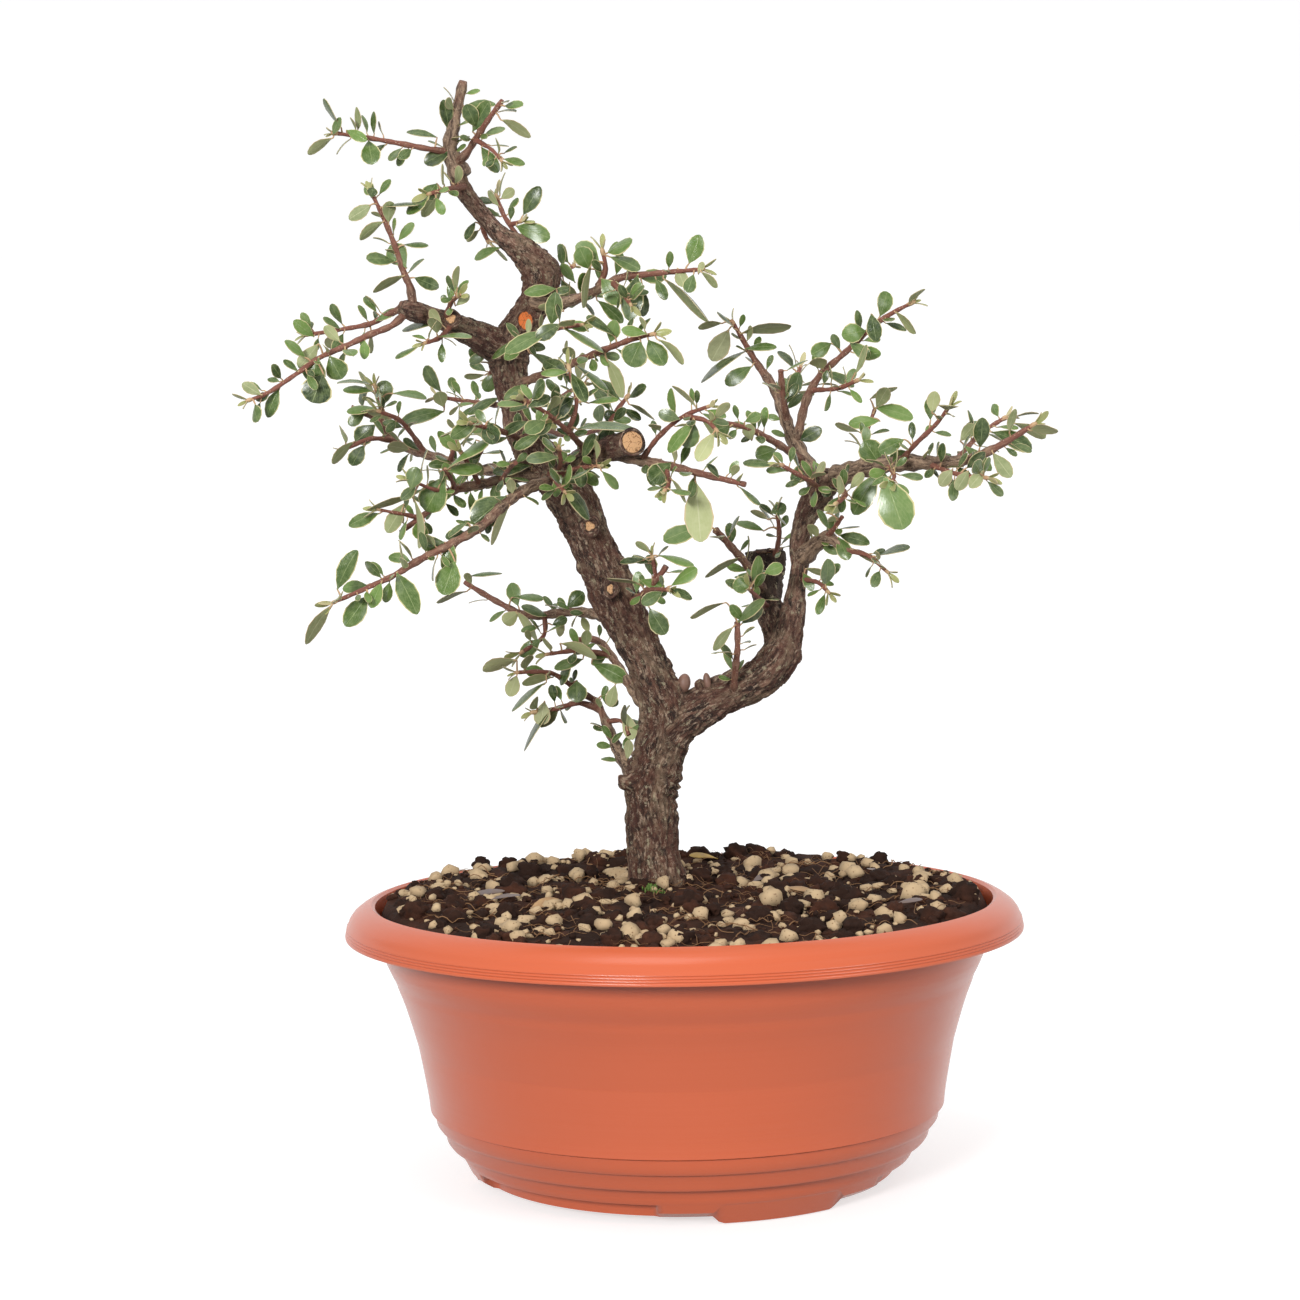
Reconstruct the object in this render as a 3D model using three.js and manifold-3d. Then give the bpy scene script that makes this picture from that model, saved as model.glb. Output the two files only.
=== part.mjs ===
// A bearberry cotoneaster grown as a small tree, in a round terracotta-coloured plastic bowl.
// Millimetres, +Z up: x to the right, y away from the front, z up from the surface it stands on.
import * as THREE from 'three';
import { mergeVertices } from 'three/addons/utils/BufferGeometryUtils.js';
import Module from 'manifold-3d';

const wasm = await Module();
wasm.setup();

// Bowl: half of its outline as [radius, height], from its lower edge up the outside and down the inside
const bowlOutline = [
  [99.4, 9.2], [101.5, 16.5], [106.5, 17], [108, 24], [110.8, 24.6], [112.4, 31.7], [114.4, 32.4],
  [118, 56], [124.5, 80], [131.5, 96], [133.4, 112.5], [147, 112.5], [150, 109.5], [148.6, 115.2],
  [143.4, 121], [138.2, 123.3], [135.6, 119], [125.6, 90], [99, 14], [90.4, 11.6], [89.4, 6.2],
];
const floorUnderside = 3;
const floorTop = 6.2;
const footCentres = [54, 174, 294];
// The underside from the feet's inner edge out, as [radius, height]: at a foot, its shoulder and between
const footInner = 78;
const underFoot = [[79, 0], [94, 0], [98.9, 8.8]];
const underShoulder = [[79, 3], [93.4, 3], [97.4, 5.4]];
const underGap = [[79, 3], [92, 3], [93, 9]];
// Angles from a foot's centre where the bowl has a station, and where the foot and its shoulder end
const stationAngles = [-60, -46.5, -33, -31.5, -24, -17.5, -16, -8, 0, 8, 16, 17.5, 24, 31.5, 33, 46.5];
const footHalf = 16;
const shoulderHalf = 31.5;
const drainCount = 4;
const drainRadius = 4.5;
const drainCircle = 52;

// Soil
const touchGap = 0.3;
const soilLevel = 118.6;
const soilMound = 5.5;
const soilEdge = [134.2, 117.4];
const soilRings = [118, 84, 42];
const grainCount = 30;
const grainSize = [5, 11];

// Bark
const barkSides = 10;
const barkRidge = 0.06;

// Leaves
const leafSeed = 7043;
const bladeDepth = 1.1;
const stalkHalf = 0.5;
const stalkSunk = 0.5;
const thickStem = 2;
const smallLeaf = 9.5;
const leafLength = [9.5, 15.5];
const leafShape = [0.52, 0.66];
const longLeaf = 17;
const longStalk = 4.5;
const leafTries = 8;
const crownMiddle = [-14, 24];

// Limbs of the one woody body: [x, y, z, radius] along the middle of each, from the root up
const limbs = [
  {
    name: 'trunk',
    path: [
      [-11, 36, 104, 16.0], [-11, 36, 120, 14.2], [-14, 36, 139, 11.9], [-14, 36, 161, 11.6],
      [-14, 36, 168, 12.5], [-10, 36, 183, 11.6], [-6, 33, 200, 11.8], [-11, 31, 216, 9.8],
      [-18, 30, 232, 9.3], [-25, 29, 247, 10.2], [-28, 27, 255, 10.6], [-34, 26, 269, 9.7],
      [-41, 25, 286, 9.7], [-49, 22, 303, 10.1], [-60, 19, 317, 8.9], [-66, 19, 324, 8.0],
      [-70, 18, 332, 6.7], [-71, 17, 340, 5.8], [-73, 17, 353, 7.8], [-74, 17, 364, 9.1],
      [-69, 16, 375, 7.6], [-62, 15, 386, 7.1], [-58, 13, 396, 8.0], [-59, 13, 401, 8.4],
      [-62, 12, 406, 7.3], [-69, 11, 412, 5.5], [-76, 11, 417, 4.0], [-86, 9, 429, 3.5],
      [-92, 8, 437, 4.0], [-94, 7, 443, 4.2],
    ],
  },
  {
    name: 'left_limb',
    path: [
      [-72, 17, 366, 6.7], [-81, 14, 369, 7.6], [-87, 10, 373, 6.4], [-93, 6, 376, 5.7],
      [-100, 0, 379, 4.4], [-107, -6, 381, 4.2], [-113, -12, 383, 4.6], [-118, -16, 384, 3.5],
    ],
  },
  {
    name: 'right_limb',
    path: [
      [-3, 33, 196, 10.5], [4, 33, 201, 9.5], [13, 33, 206, 8.9], [23, 33, 211, 8.6],
      [32, 33, 215, 8.6], [41, 31, 221, 8.8], [46, 30, 228, 8.6], [49, 30, 234, 6.8],
      [51, 27, 243, 5.9], [52, 27, 249, 5.4], [53, 25, 257, 4.3], [54, 22, 264, 4.0],
      [55, 21, 272, 4.5], [55, 19, 280, 4.3], [57, 17, 288, 4.7], [60, 14, 295, 5.8],
      [64, 11, 301, 6.0], [69, 6, 309, 4.9],
    ],
  },
  {
    name: 'dark_stub',
    path: [
      [47, 34, 230, 7.7], [44, 38, 241, 7.1], [41, 44, 251, 6.4], [41, 46, 258, 6.9],
      [40, 49, 266, 8.5], [40, 49, 274, 9.4],
    ],
  },
  {
    name: 'cut_stub',
    path: [
      [-54, 19, 311, 5.4], [-35, -13, 319, 5.2], [-26, -27, 322, 5.4], [-18, -40, 324, 5.5],
    ],
  },
];

// Knots, callus lumps and crotch buds on the bark: [x, y, z, radius]
const knots = [
  [-25, 28, 171, 4], [-30, 17, 259, 4.8], [-39, 16, 287, 4.8], [-43, 24, 269, 3],
  [-71, 13, 327, 3], [-66, 12, 378, 3.6], [-97, -2, 378, 3.6], [-1, 29, 214, 3.4], [9, 29, 215, 2.4],
  [-62, 11, 400, 5], [51, 30, 227, 5],
];

// Sprays: stems with their radius at both ends and how many leaves follow the rule on them, then the
// leaves that stand out from the front as [x, z, tip x, tip z, width seen], minus for a pale underside
const sprays = [
  {
    name: 'apex_spray',
    stems: [
      { ends: [4.8, 2.0], leaves: 1, path: [
        [-92, 7, 442], [-95, 7, 448], [-97, 6, 454], [-96, 4, 460], [-94, 3, 468], [-90, -1, 483],
      ] },
      { ends: [2.0, 1.1], leaves: 2, path: [
        [-94, 6, 448], [-89, -1, 452], [-85, -5, 457], [-79, -13, 464], [-72, -18, 472],
      ] },
      { ends: [1.1, 0.6], leaves: 1, path: [[-85, -5, 457], [-77, -16, 451], [-73, -21, 446]] },
      { ends: [1.5, 0.9], leaves: 2, path: [
        [-97, 6, 453], [-107, -2, 454], [-118, -5, 456], [-131, -10, 458], [-145, -13, 460],
      ] },
    ],
    shown: [
      [-146, 459, -142, 466, 4], [-146, 458, -157, 451, -3], [-131, 457, -129, 446, 9],
      [-102, 459, -115, 461, 4], [-97, 462, -99, 475, 6], [-86, 460, -78, 472, 7],
      [-73, 464, -60, 456, -4], [-96, 454, -108, 448, 7], [-82, 453, -75, 442, 6],
      [-140, 461, -131, 456, 5],
    ],
  },
  {
    name: 'neck_spray',
    stems: [
      { ends: [1.5, 0.9], leaves: 2, path: [[-91, 6, 438], [-97, -13, 435], [-104, -24, 432]] },
    ],
    shown: [
      [-101, 437, -106, 430, 7], [-99, 434, -108, 423, -5],
    ],
  },
  {
    name: 'shoulder_spray',
    stems: [
      { ends: [1.3, 0.9], leaves: 2, path: [
        [-66, 14, 412], [-72, 19, 422], [-75, 21, 427], [-78, 25, 435],
      ] },
      { ends: [0.9, 0.7], leaves: 1, path: [[-72, 19, 422], [-67, 14, 423]] },
    ],
    shown: [
      [-69, 421, -54, 415, 9], [-76, 434, -70, 438, -5],
    ],
  },
  {
    name: 'shoulder_left_spray',
    stems: [
      { ends: [1.1, 0.9], leaves: 1, path: [[-81, 12, 423], [-84, 14, 421], [-82, 17, 415]] },
    ],
    shown: [
      [-76, 412, -88, 407, 5], [-87, 423, -91, 415, 4],
    ],
  },
  {
    name: 'left_limb_upright_spray',
    stems: [
      { ends: [2.0, 0.9], leaves: 3, path: [
        [-113, -13, 385], [-114, -14, 393], [-116, -16, 398], [-120, -18, 411], [-124, -20, 422],
        [-129, -21, 433],
      ] },
    ],
    shown: [
      [-115, 401, -122, 411, 10], [-112, 397, -101, 392, 6], [-129, 428, -139, 422, -6],
      [-124, 427, -108, 427, 2], [-124, 421, -134, 413, -4], [-129, 431, -128, 435, 5],
      [-116, 411, -105, 410, 3], [-116, 398, -130, 391, -3],
    ],
  },
  {
    name: 'left_limb_high_spray',
    stems: [
      { ends: [1.5, 0.9], leaves: 3, path: [
        [-118, -14, 384], [-126, -8, 381], [-133, -5, 378], [-146, -2, 376], [-161, 0, 374],
      ] },
    ],
    shown: [
      [-158, 373, -166, 380, 6], [-146, 376, -153, 381, 3], [-130, 379, -120, 384, 4],
    ],
  },
  {
    name: 'left_limb_long_spray',
    stems: [
      { ends: [1.7, 0.8], leaves: 4, path: [
        [-116, -14, 382], [-122, -21, 376], [-131, -27, 372], [-141, -32, 367], [-151, -40, 362],
        [-160, -48, 355], [-171, -56, 347], [-178, -62, 344],
      ] },
    ],
    shown: [
      [-149, 355, -154, 343, 14], [-151, 362, -155, 352, 11], [-147, 363, -142, 353, 10],
      [-151, 368, -160, 358, -7], [-173, 346, -181, 351, -5], [-170, 347, -176, 344, 4],
      [-159, 356, -165, 361, 3],
    ],
  },
  {
    name: 'left_limb_front_spray',
    stems: [
      { ends: [1.3, 0.9], leaves: 1, path: [[-100, -2, 380], [-96, -18, 386], [-92, -27, 388]] },
    ],
    shown: [
      [-94, 384, -88, 389, -4], [-98, 386, -100, 389, 3],
    ],
  },
  {
    name: 'left_limb_low_spray',
    stems: [
      { ends: [1.3, 0.9], leaves: 2, path: [[-97, 0, 378], [-101, -18, 371], [-107, -29, 368]] },
    ],
    shown: [
      [-100, 378, -119, 375, 4], [-102, 371, -87, 370, 3],
    ],
  },
  {
    name: 'left_limb_back_spray',
    stems: [
      { ends: [1.3, 0.9], leaves: 2, path: [[-81, 18, 369], [-81, 33, 362], [-84, 38, 356]] },
    ],
    shown: [
      [-81, 357, -86, 349, 7], [-87, 362, -92, 368, 5],
    ],
  },
  {
    name: 'upper_right_spray',
    stems: [
      { ends: [3.5, 0.9], leaves: 3, path: [
        [-62, 11, 388], [-55, 2, 385], [-47, -4, 386], [-36, -10, 389], [-23, -18, 395],
        [-10, -24, 396], [12, -32, 397],
      ] },
      { ends: [1.5, 0.9], leaves: 2, path: [[-32, -13, 392], [-29, -18, 399], [-30, -21, 406]] },
      { ends: [1.3, 0.8], leaves: 1, path: [[-26, -17, 393], [-22, -29, 388], [-18, -40, 382]] },
    ],
    shown: [
      [-31, 395, -22, 384, 10], [-15, 396, -19, 376, 10], [-33, 386, -22, 376, 6],
      [-13, 390, -13, 378, 5], [-27, 404, -14, 398, 6], [-36, 399, -40, 408, 9],
      [-35, 401, -39, 382, -3], [11, 395, 13, 400, -3], [12, 396, 19, 389, -3],
      [2, 398, 5, 390, -6], [9, 395, 6, 387, 6], [-4, 394, 15, 375, -3], [-51, 392, -65, 390, 6],
      [-53, 390, -45, 392, 4], [-48, 382, -59, 384, -3],
    ],
  },
  {
    name: 'upper_back_spray',
    stems: [
      { ends: [1.3, 0.9], leaves: 2, path: [[-57, 17, 399], [-51, 30, 400], [-45, 41, 405]] },
    ],
    shown: [
      [-44, 397, -50, 405, 5],
    ],
  },
  {
    name: 'crossing_spray',
    stems: [
      { ends: [2.2, 0.8], leaves: 2, path: [
        [-70, 13, 351], [-50, -8, 357], [-32, -27, 363], [-19, -40, 367], [-9, -48, 369],
      ] },
    ],
    shown: [
      [-65, 351, -75, 344, 5], [-14, 366, -19, 356, 12], [-11, 369, -22, 371, 5],
      [-7, 367, 4, 356, -3], [-29, 360, -22, 343, -6], [-25, 369, -37, 377, 4],
      [-43, 358, -29, 347, 3],
    ],
  },
  {
    name: 'front_upper_spray',
    stems: [
      { ends: [1.6, 0.8], leaves: 2, path: [
        [-71, 12, 365], [-62, -16, 369], [-50, -29, 373], [-39, -40, 374],
      ] },
    ],
    shown: [
      [-63, 364, -51, 357, 4], [-48, 375, -59, 369, 7], [-53, 372, -72, 363, 7],
      [-70, 370, -80, 362, 4], [-47, 375, -36, 373, 5], [-47, 373, -30, 362, 4],
    ],
  },
  {
    name: 'middle_right_spray',
    stems: [
      { ends: [2.8, 1.1], leaves: 2, path: [
        [-31, -18, 320], [-15, -29, 316], [-5, -35, 314], [10, -46, 310], [29, -56, 305],
      ] },
      { ends: [1.3, 0.8], leaves: 2, path: [
        [-15, -29, 316], [-7, -43, 326], [3, -48, 334], [14, -54, 338],
      ] },
      { ends: [1.1, 0.8], leaves: 1, path: [[-5, -35, 314], [-3, -48, 307], [-5, -56, 303]] },
      { ends: [1.1, 0.8], leaves: 0, path: [[5, -50, 334], [13, -58, 332], [17, -62, 328]] },
    ],
    shown: [
      [8, 307, 10, 281, -13], [-2, 315, -11, 307, 10], [8, 331, 4, 321, 9], [8, 332, -3, 319, 6],
      [2, 333, -7, 336, 6], [16, 327, 9, 315, -7], [10, 334, 18, 325, -3], [9, 338, -1, 347, -2],
      [18, 308, 13, 314, 3], [-2, 308, 4, 298, -2],
    ],
  },
  {
    name: 'middle_front_spray',
    stems: [
      { ends: [1.5, 0.8], leaves: 2, path: [
        [-38, -8, 319], [-46, -32, 329], [-55, -48, 337], [-63, -59, 342],
      ] },
      { ends: [1.1, 0.9], leaves: 1, path: [[-46, -32, 329], [-42, -35, 341], [-45, -35, 356]] },
    ],
    shown: [
      [-37, 341, -24, 342, 3], [-42, 330, -17, 329, 4], [-62, 339, -52, 343, 5],
      [-43, 343, -54, 336, 9], [-63, 340, -74, 340, 3], [-46, 354, -57, 354, 4],
      [-44, 354, -38, 341, 6],
    ],
  },
  {
    name: 'middle_up_spray',
    stems: [
      { ends: [1.3, 0.9], leaves: 2, path: [[-31, -18, 321], [-28, -10, 334], [-21, -5, 344]] },
    ],
    shown: [
      [-20, 341, -9, 334, -2], [-33, 319, -28, 330, 8], [-25, 337, -31, 335, 6],
      [-23, 339, -15, 334, 4],
    ],
  },
  {
    name: 'middle_left_spray',
    stems: [
      { ends: [1.6, 0.8], leaves: 2, path: [
        [-66, 15, 325], [-73, -18, 329], [-80, -35, 331], [-87, -46, 333],
      ] },
      { ends: [1.1, 0.9], leaves: 1, path: [[-68, -1, 326], [-61, -18, 330], [-56, -27, 332]] },
    ],
    shown: [
      [-57, 329, -69, 322, 5], [-63, 334, -75, 329, 5], [-80, 334, -78, 324, 9],
      [-84, 334, -95, 327, 7],
    ],
  },
  {
    name: 'middle_back_spray',
    stems: [
      { ends: [1.8, 0.9], leaves: 2, path: [
        [-64, 22, 326], [-59, 57, 338], [-53, 76, 347], [-43, 87, 353],
      ] },
      { ends: [1.4, 1.0], leaves: 2, path: [[-62, 44, 332], [-49, 76, 329], [-33, 106, 333]] },
    ],
    shown: [
      [-40, 356, -27, 347, 8], [-31, 337, -21, 336, 4],
    ],
  },
  {
    name: 'trunk_back_left_spray',
    stems: [
      { ends: [1.6, 0.9], leaves: 2, path: [
        [-71, 20, 342], [-82, 38, 343], [-94, 54, 345], [-110, 68, 348],
      ] },
    ],
    shown: [
      [-107, 343, -109, 350, -7], [-79, 346, -94, 339, 5], [-107, 341, -126, 336, 7],
    ],
  },
  {
    name: 'trunk_low_spray',
    stems: [
      { ends: [1.3, 0.9], leaves: 1, path: [[-57, 16, 312], [-52, -16, 307], [-48, -27, 303]] },
      { ends: [1.1, 0.9], leaves: 2, path: [[-54, -8, 309], [-44, -21, 313], [-33, -32, 314]] },
      { ends: [1.1, 0.9], leaves: 2, path: [[-54, -8, 309], [-50, -24, 315], [-50, -35, 322]] },
    ],
    shown: [
      [-49, 306, -38, 291, 6], [-50, 311, -53, 301, 5], [-41, 314, -41, 305, 6],
      [-32, 312, -25, 304, 4], [-37, 314, -28, 314, 3], [-50, 318, -64, 317, 5],
    ],
  },
  {
    name: 'back_left_branch',
    stems: [
      { ends: [3.1, 1.4], leaves: 2, path: [
        [-62, 24, 317], [-80, 38, 314], [-94, 44, 314], [-108, 54, 319], [-121, 65, 323],
        [-131, 73, 328], [-141, 81, 339], [-152, 81, 344],
      ] },
      { ends: [1.4, 0.9], leaves: 2, path: [[-131, 73, 328], [-141, 62, 329], [-153, 57, 324]] },
      { ends: [1.4, 0.9], leaves: 2, path: [[-116, 61, 322], [-125, 49, 336], [-135, 44, 341]] },
      { ends: [1.1, 0.9], leaves: 1, path: [[-104, 50, 317], [-100, 38, 325], [-97, 33, 332]] },
      { ends: [1.2, 0.9], leaves: 2, path: [[-138, 80, 337], [-137, 73, 345], [-139, 68, 353]] },
      { ends: [1.1, 0.9], leaves: 1, path: [[-93, 44, 314], [-88, 33, 322], [-85, 25, 328]] },
    ],
    shown: [
      [-138, 343, -134, 356, 9], [-140, 336, -150, 328, 10], [-148, 328, -158, 318, -4],
      [-138, 343, -153, 342, 4], [-145, 342, -153, 336, 6], [-131, 350, -115, 347, 4],
      [-140, 351, -154, 352, 4], [-140, 354, -156, 355, 2], [-90, 327, -92, 318, 5],
    ],
  },
  {
    name: 'dark_left_branch',
    stems: [
      { ends: [3.1, 1.1], leaves: 1, path: [
        [-55, 17, 310], [-69, 11, 310], [-87, 3, 307], [-99, -5, 304], [-108, -13, 296],
        [-120, -21, 287],
      ] },
      { ends: [1.1, 0.6], leaves: 1, path: [[-97, -4, 305], [-104, -24, 305], [-113, -32, 309]] },
      { ends: [1.1, 0.6], leaves: 1, path: [[-112, -16, 293], [-119, -27, 295], [-128, -32, 297]] },
      { ends: [1.1, 0.9], leaves: 1, path: [[-87, 3, 307], [-90, -13, 315], [-93, -21, 321]] },
      { ends: [1.1, 0.9], leaves: 0, path: [[-97, -4, 305], [-98, -18, 310], [-100, -24, 314]] },
      { ends: [1.1, 0.9], leaves: 1, path: [[-78, 8, 308], [-73, -16, 313], [-69, -29, 316]] },
    ],
    shown: [
      [-99, 314, -80, 326, 4], [-100, 311, -109, 296, 13], [-114, 305, -111, 315, 8],
      [-99, 313, -84, 314, 6], [-115, 302, -133, 297, -3], [-117, 300, -125, 287, -7],
      [-113, 302, -111, 280, -4], [-64, 315, -81, 312, 6],
    ],
  },
  {
    name: 'long_low_branch',
    stems: [
      { ends: [2.9, 0.8], leaves: 5, path: [
        [-49, 17, 306], [-59, -13, 307], [-72, -27, 300], [-84, -40, 289], [-96, -52, 282],
        [-108, -63, 276], [-118, -71, 270], [-129, -79, 265], [-141, -89, 260],
      ] },
    ],
    shown: [
      [-73, 302, -88, 290, 14], [-72, 298, -80, 281, -3], [-98, 283, -108, 282, 7],
      [-89, 291, -97, 285, 3], [-95, 283, -98, 270, 7], [-94, 275, -99, 261, 11],
      [-117, 271, -108, 254, 9], [-123, 267, -127, 257, 6], [-128, 262, -137, 250, 9],
      [-140, 265, -131, 281, 8], [-142, 259, -153, 243, -5], [-123, 269, -129, 276, 4],
    ],
  },
  {
    name: 'low_left_branch',
    stems: [
      { ends: [3.4, 1.6], leaves: 0, path: [
        [-20, 42, 167], [-29, 60, 182], [-35, 71, 195], [-39, 76, 204],
      ] },
      { ends: [1.6, 0.9], leaves: 2, path: [
        [-37, 75, 200], [-47, 71, 204], [-58, 65, 202], [-68, 60, 201],
      ] },
      { ends: [1.6, 0.9], leaves: 2, path: [
        [-39, 76, 204], [-49, 71, 211], [-60, 62, 219], [-75, 54, 220],
      ] },
      { ends: [1.2, 0.9], leaves: 1, path: [[-35, 71, 195], [-27, 60, 196], [-24, 54, 190]] },
    ],
    shown: [
      [-75, 226, -91, 221, -6], [-75, 219, -79, 209, -7], [-59, 217, -73, 215, -5],
      [-62, 215, -78, 202, 3], [-63, 206, -65, 195, -8], [-60, 203, -73, 183, 3],
      [-48, 215, -48, 205, 10], [-26, 201, -22, 188, -7], [-37, 207, -29, 203, 6],
    ],
  },
  {
    name: 'behind_left_branch',
    stems: [
      { ends: [3.0, 1.4], leaves: 1, path: [
        [-12, 37, 201], [-17, 52, 204], [-25, 65, 215], [-32, 73, 226], [-39, 79, 233],
        [-48, 81, 233],
      ] },
      { ends: [1.4, 0.9], leaves: 2, path: [[-32, 73, 226], [-46, 65, 229], [-61, 57, 228]] },
    ],
    shown: [
      [-41, 223, -25, 215, 8], [-55, 233, -38, 227, -6], [-45, 225, -58, 221, 5],
      [-30, 213, -33, 203, -6],
    ],
  },
  {
    name: 'back_low_branch',
    stems: [
      { ends: [3.2, 1.2], leaves: 3, path: [
        [-24, 31, 243], [-31, 46, 244], [-39, 60, 246], [-51, 68, 247], [-70, 76, 245],
        [-84, 81, 251], [-101, 87, 261],
      ] },
      { ends: [1.2, 0.9], leaves: 1, path: [[-63, 73, 246], [-63, 65, 236], [-73, 60, 229]] },
    ],
    shown: [
      [-98, 264, -83, 265, 2], [-78, 254, -63, 253, 3], [-75, 247, -82, 242, -7],
      [-76, 247, -66, 234, -5], [-61, 245, -73, 250, 4], [-59, 241, -52, 244, 5],
      [-52, 249, -44, 256, 8], [-64, 235, -74, 227, 7],
    ],
  },
  {
    name: 'inner_spray',
    stems: [
      { ends: [1.3, 0.9], leaves: 2, path: [
        [-22, 23, 253], [-14, -2, 259], [-10, -10, 264], [-11, -16, 274],
      ] },
      { ends: [1.1, 0.9], leaves: 1, path: [[-14, -2, 259], [-10, -13, 260], [-4, -24, 260]] },
      { ends: [1.1, 1.3], leaves: 0, path: [[-10, -10, 264], [-7, -12, 267], [-5, -13, 270]] },
    ],
    shown: [
      [-13, 251, -6, 239, 9], [-7, 259, -16, 254, 6], [-17, 264, -6, 260, 5],
      [-17, 262, -31, 265, -2], [-4, 261, 6, 256, 4], [-15, 273, -25, 272, 3], [-9, 275, 7, 270, 3],
      [-12, 276, -18, 281, -3],
    ],
  },
  {
    name: 'right_branch',
    stems: [
      { ends: [5.1, 0.9], leaves: 3, path: [
        [70, 4, 307], [85, -8, 312], [99, -16, 313], [114, -24, 313], [126, -29, 314],
        [139, -35, 320], [152, -40, 328],
      ] },
      { ends: [1.3, 0.8], leaves: 2, path: [
        [97, -16, 313], [103, -29, 321], [111, -37, 329], [116, -43, 336],
      ] },
      { ends: [1.5, 0.9], leaves: 2, path: [[83, -8, 311], [84, 8, 324], [89, 19, 337]] },
      { ends: [1.3, 0.8], leaves: 2, path: [[108, -20, 313], [119, -37, 308], [131, -48, 306]] },
      { ends: [1.3, 0.9], leaves: 2, path: [[120, -27, 313], [133, -8, 325], [145, 3, 332]] },
      { ends: [1.1, 0.8], leaves: 0, path: [[92, -12, 312], [93, -37, 308], [91, -51, 305]] },
    ],
    shown: [
      [88, 307, 95, 285, 16], [88, 309, 77, 291, 10], [89, 312, 82, 323, 11],
      [91, 312, 101, 317, 8], [109, 334, 110, 343, -6], [89, 338, 106, 333, 7],
      [148, 330, 163, 323, -4], [138, 326, 156, 318, 8], [135, 317, 143, 306, -7],
      [125, 320, 136, 309, 6], [118, 310, 112, 303, -6], [124, 309, 119, 301, -6],
      [130, 309, 124, 302, -6], [87, 342, 99, 347, -3], [91, 332, 77, 331, 6],
      [142, 325, 144, 335, -4], [123, 322, 129, 329, -6], [98, 323, 87, 318, 7],
    ],
  },
  {
    name: 'right_high_branch',
    stems: [
      { ends: [4.4, 0.9], leaves: 3, path: [
        [64, 11, 304], [55, 17, 319], [51, 22, 329], [45, 30, 347], [37, 36, 360], [27, 41, 378],
      ] },
      { ends: [2.0, 0.9], leaves: 1, path: [
        [58, 15, 314], [44, -2, 323], [32, -16, 329], [21, -21, 332],
      ] },
      { ends: [1.8, 1.3], leaves: 0, path: [[50, 23, 333], [48, 14, 344], [47, 8, 355]] },
      { ends: [1.3, 0.9], leaves: 1, path: [[48, 26, 338], [53, 46, 348], [58, 60, 358]] },
      { ends: [2.2, 0.9], leaves: 4, path: [
        [54, 19, 323], [58, 11, 341], [64, 6, 352], [74, 0, 361], [90, -8, 375], [103, -16, 382],
      ] },
      { ends: [1.1, 0.9], leaves: 1, path: [[61, 8, 346], [71, -8, 346], [79, -16, 349]] },
    ],
    shown: [
      [25, 375, 17, 361, -10], [30, 373, 53, 376, -5], [32, 366, 46, 366, 4], [32, 365, 12, 351, 4],
      [35, 358, 23, 350, 7], [84, 371, 73, 369, 9], [86, 378, 88, 366, 7], [96, 379, 105, 369, -3],
      [77, 366, 85, 359, 6], [69, 366, 60, 361, 7], [64, 354, 79, 347, 5], [44, 320, 35, 317, 8],
      [62, 314, 51, 306, 8], [61, 315, 64, 305, 8], [30, 332, 37, 335, 5], [33, 324, 31, 331, -6],
      [55, 324, 65, 329, 7], [22, 378, 11, 376, -3],
    ],
  },
  {
    name: 'right_front_spray',
    stems: [
      { ends: [1.3, 0.9], leaves: 2, path: [[64, 8, 302], [56, -21, 307], [45, -32, 313]] },
    ],
    shown: [
    ],
  },
  {
    name: 'right_low_spray',
    stems: [
      { ends: [1.3, 0.9], leaves: 1, path: [[69, 5, 305], [73, -24, 300], [68, -35, 296]] },
    ],
    shown: [
      [71, 307, 77, 309, 4], [68, 304, 65, 299, 5],
    ],
  },
  {
    name: 'right_twig',
    stems: [
      { ends: [4.5, 1.5], leaves: 0, path: [
        [56, 19, 272], [61, 13, 277], [66, 6, 281], [71, 2, 278], [75, -1, 275],
      ] },
      { ends: [1.3, 0.7], leaves: 2, path: [[75, -1, 275], [83, -8, 273], [91, -16, 266]] },
      { ends: [1.3, 0.9], leaves: 1, path: [[66, 6, 281], [69, -4, 285], [72, -12, 290]] },
    ],
    shown: [
      [71, 282, 84, 278, 6], [71, 281, 75, 271, 7], [76, 276, 89, 269, -3], [65, 292, 72, 294, -3],
    ],
  },
  {
    name: 'red_shoot',
    stems: [
      { ends: [2.3, 1.5], leaves: 1, path: [[39, 42, 256], [30, 17, 270], [17, 0, 285]] },
    ],
    shown: [
      [13, 287, -6, 281, 8], [30, 273, 12, 264, -3],
    ],
  },
  {
    name: 'upright_twig',
    stems: [
      { ends: [1.8, 1.3], leaves: 2, path: [
        [24, 29, 210], [25, 17, 222], [26, 10, 232], [26, 6, 244],
      ] },
    ],
    shown: [
      [24, 242, 15, 232, -5], [21, 253, 5, 247, -3], [26, 244, 38, 254, 5], [28, 245, 23, 252, 5],
    ],
  },
  {
    name: 'stub_top_spray',
    stems: [
      { ends: [1.4, 0.9], leaves: 2, path: [[44, 45, 270], [46, 30, 281], [45, 22, 292]] },
    ],
    shown: [
      [42, 292, 49, 295, 6], [39, 284, 26, 288, 4], [41, 289, 33, 293, -3],
    ],
  },
  {
    name: 'stub_front_spray',
    stems: [
      { ends: [1.1, 0.9], leaves: 1, path: [[41, 40, 249], [35, 6, 255], [31, -5, 259]] },
    ],
    shown: [
      [32, 262, 24, 260, 8], [43, 251, 32, 246, 5], [38, 266, 46, 269, 6],
    ],
  },
  {
    name: 'right_limb_spray',
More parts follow.
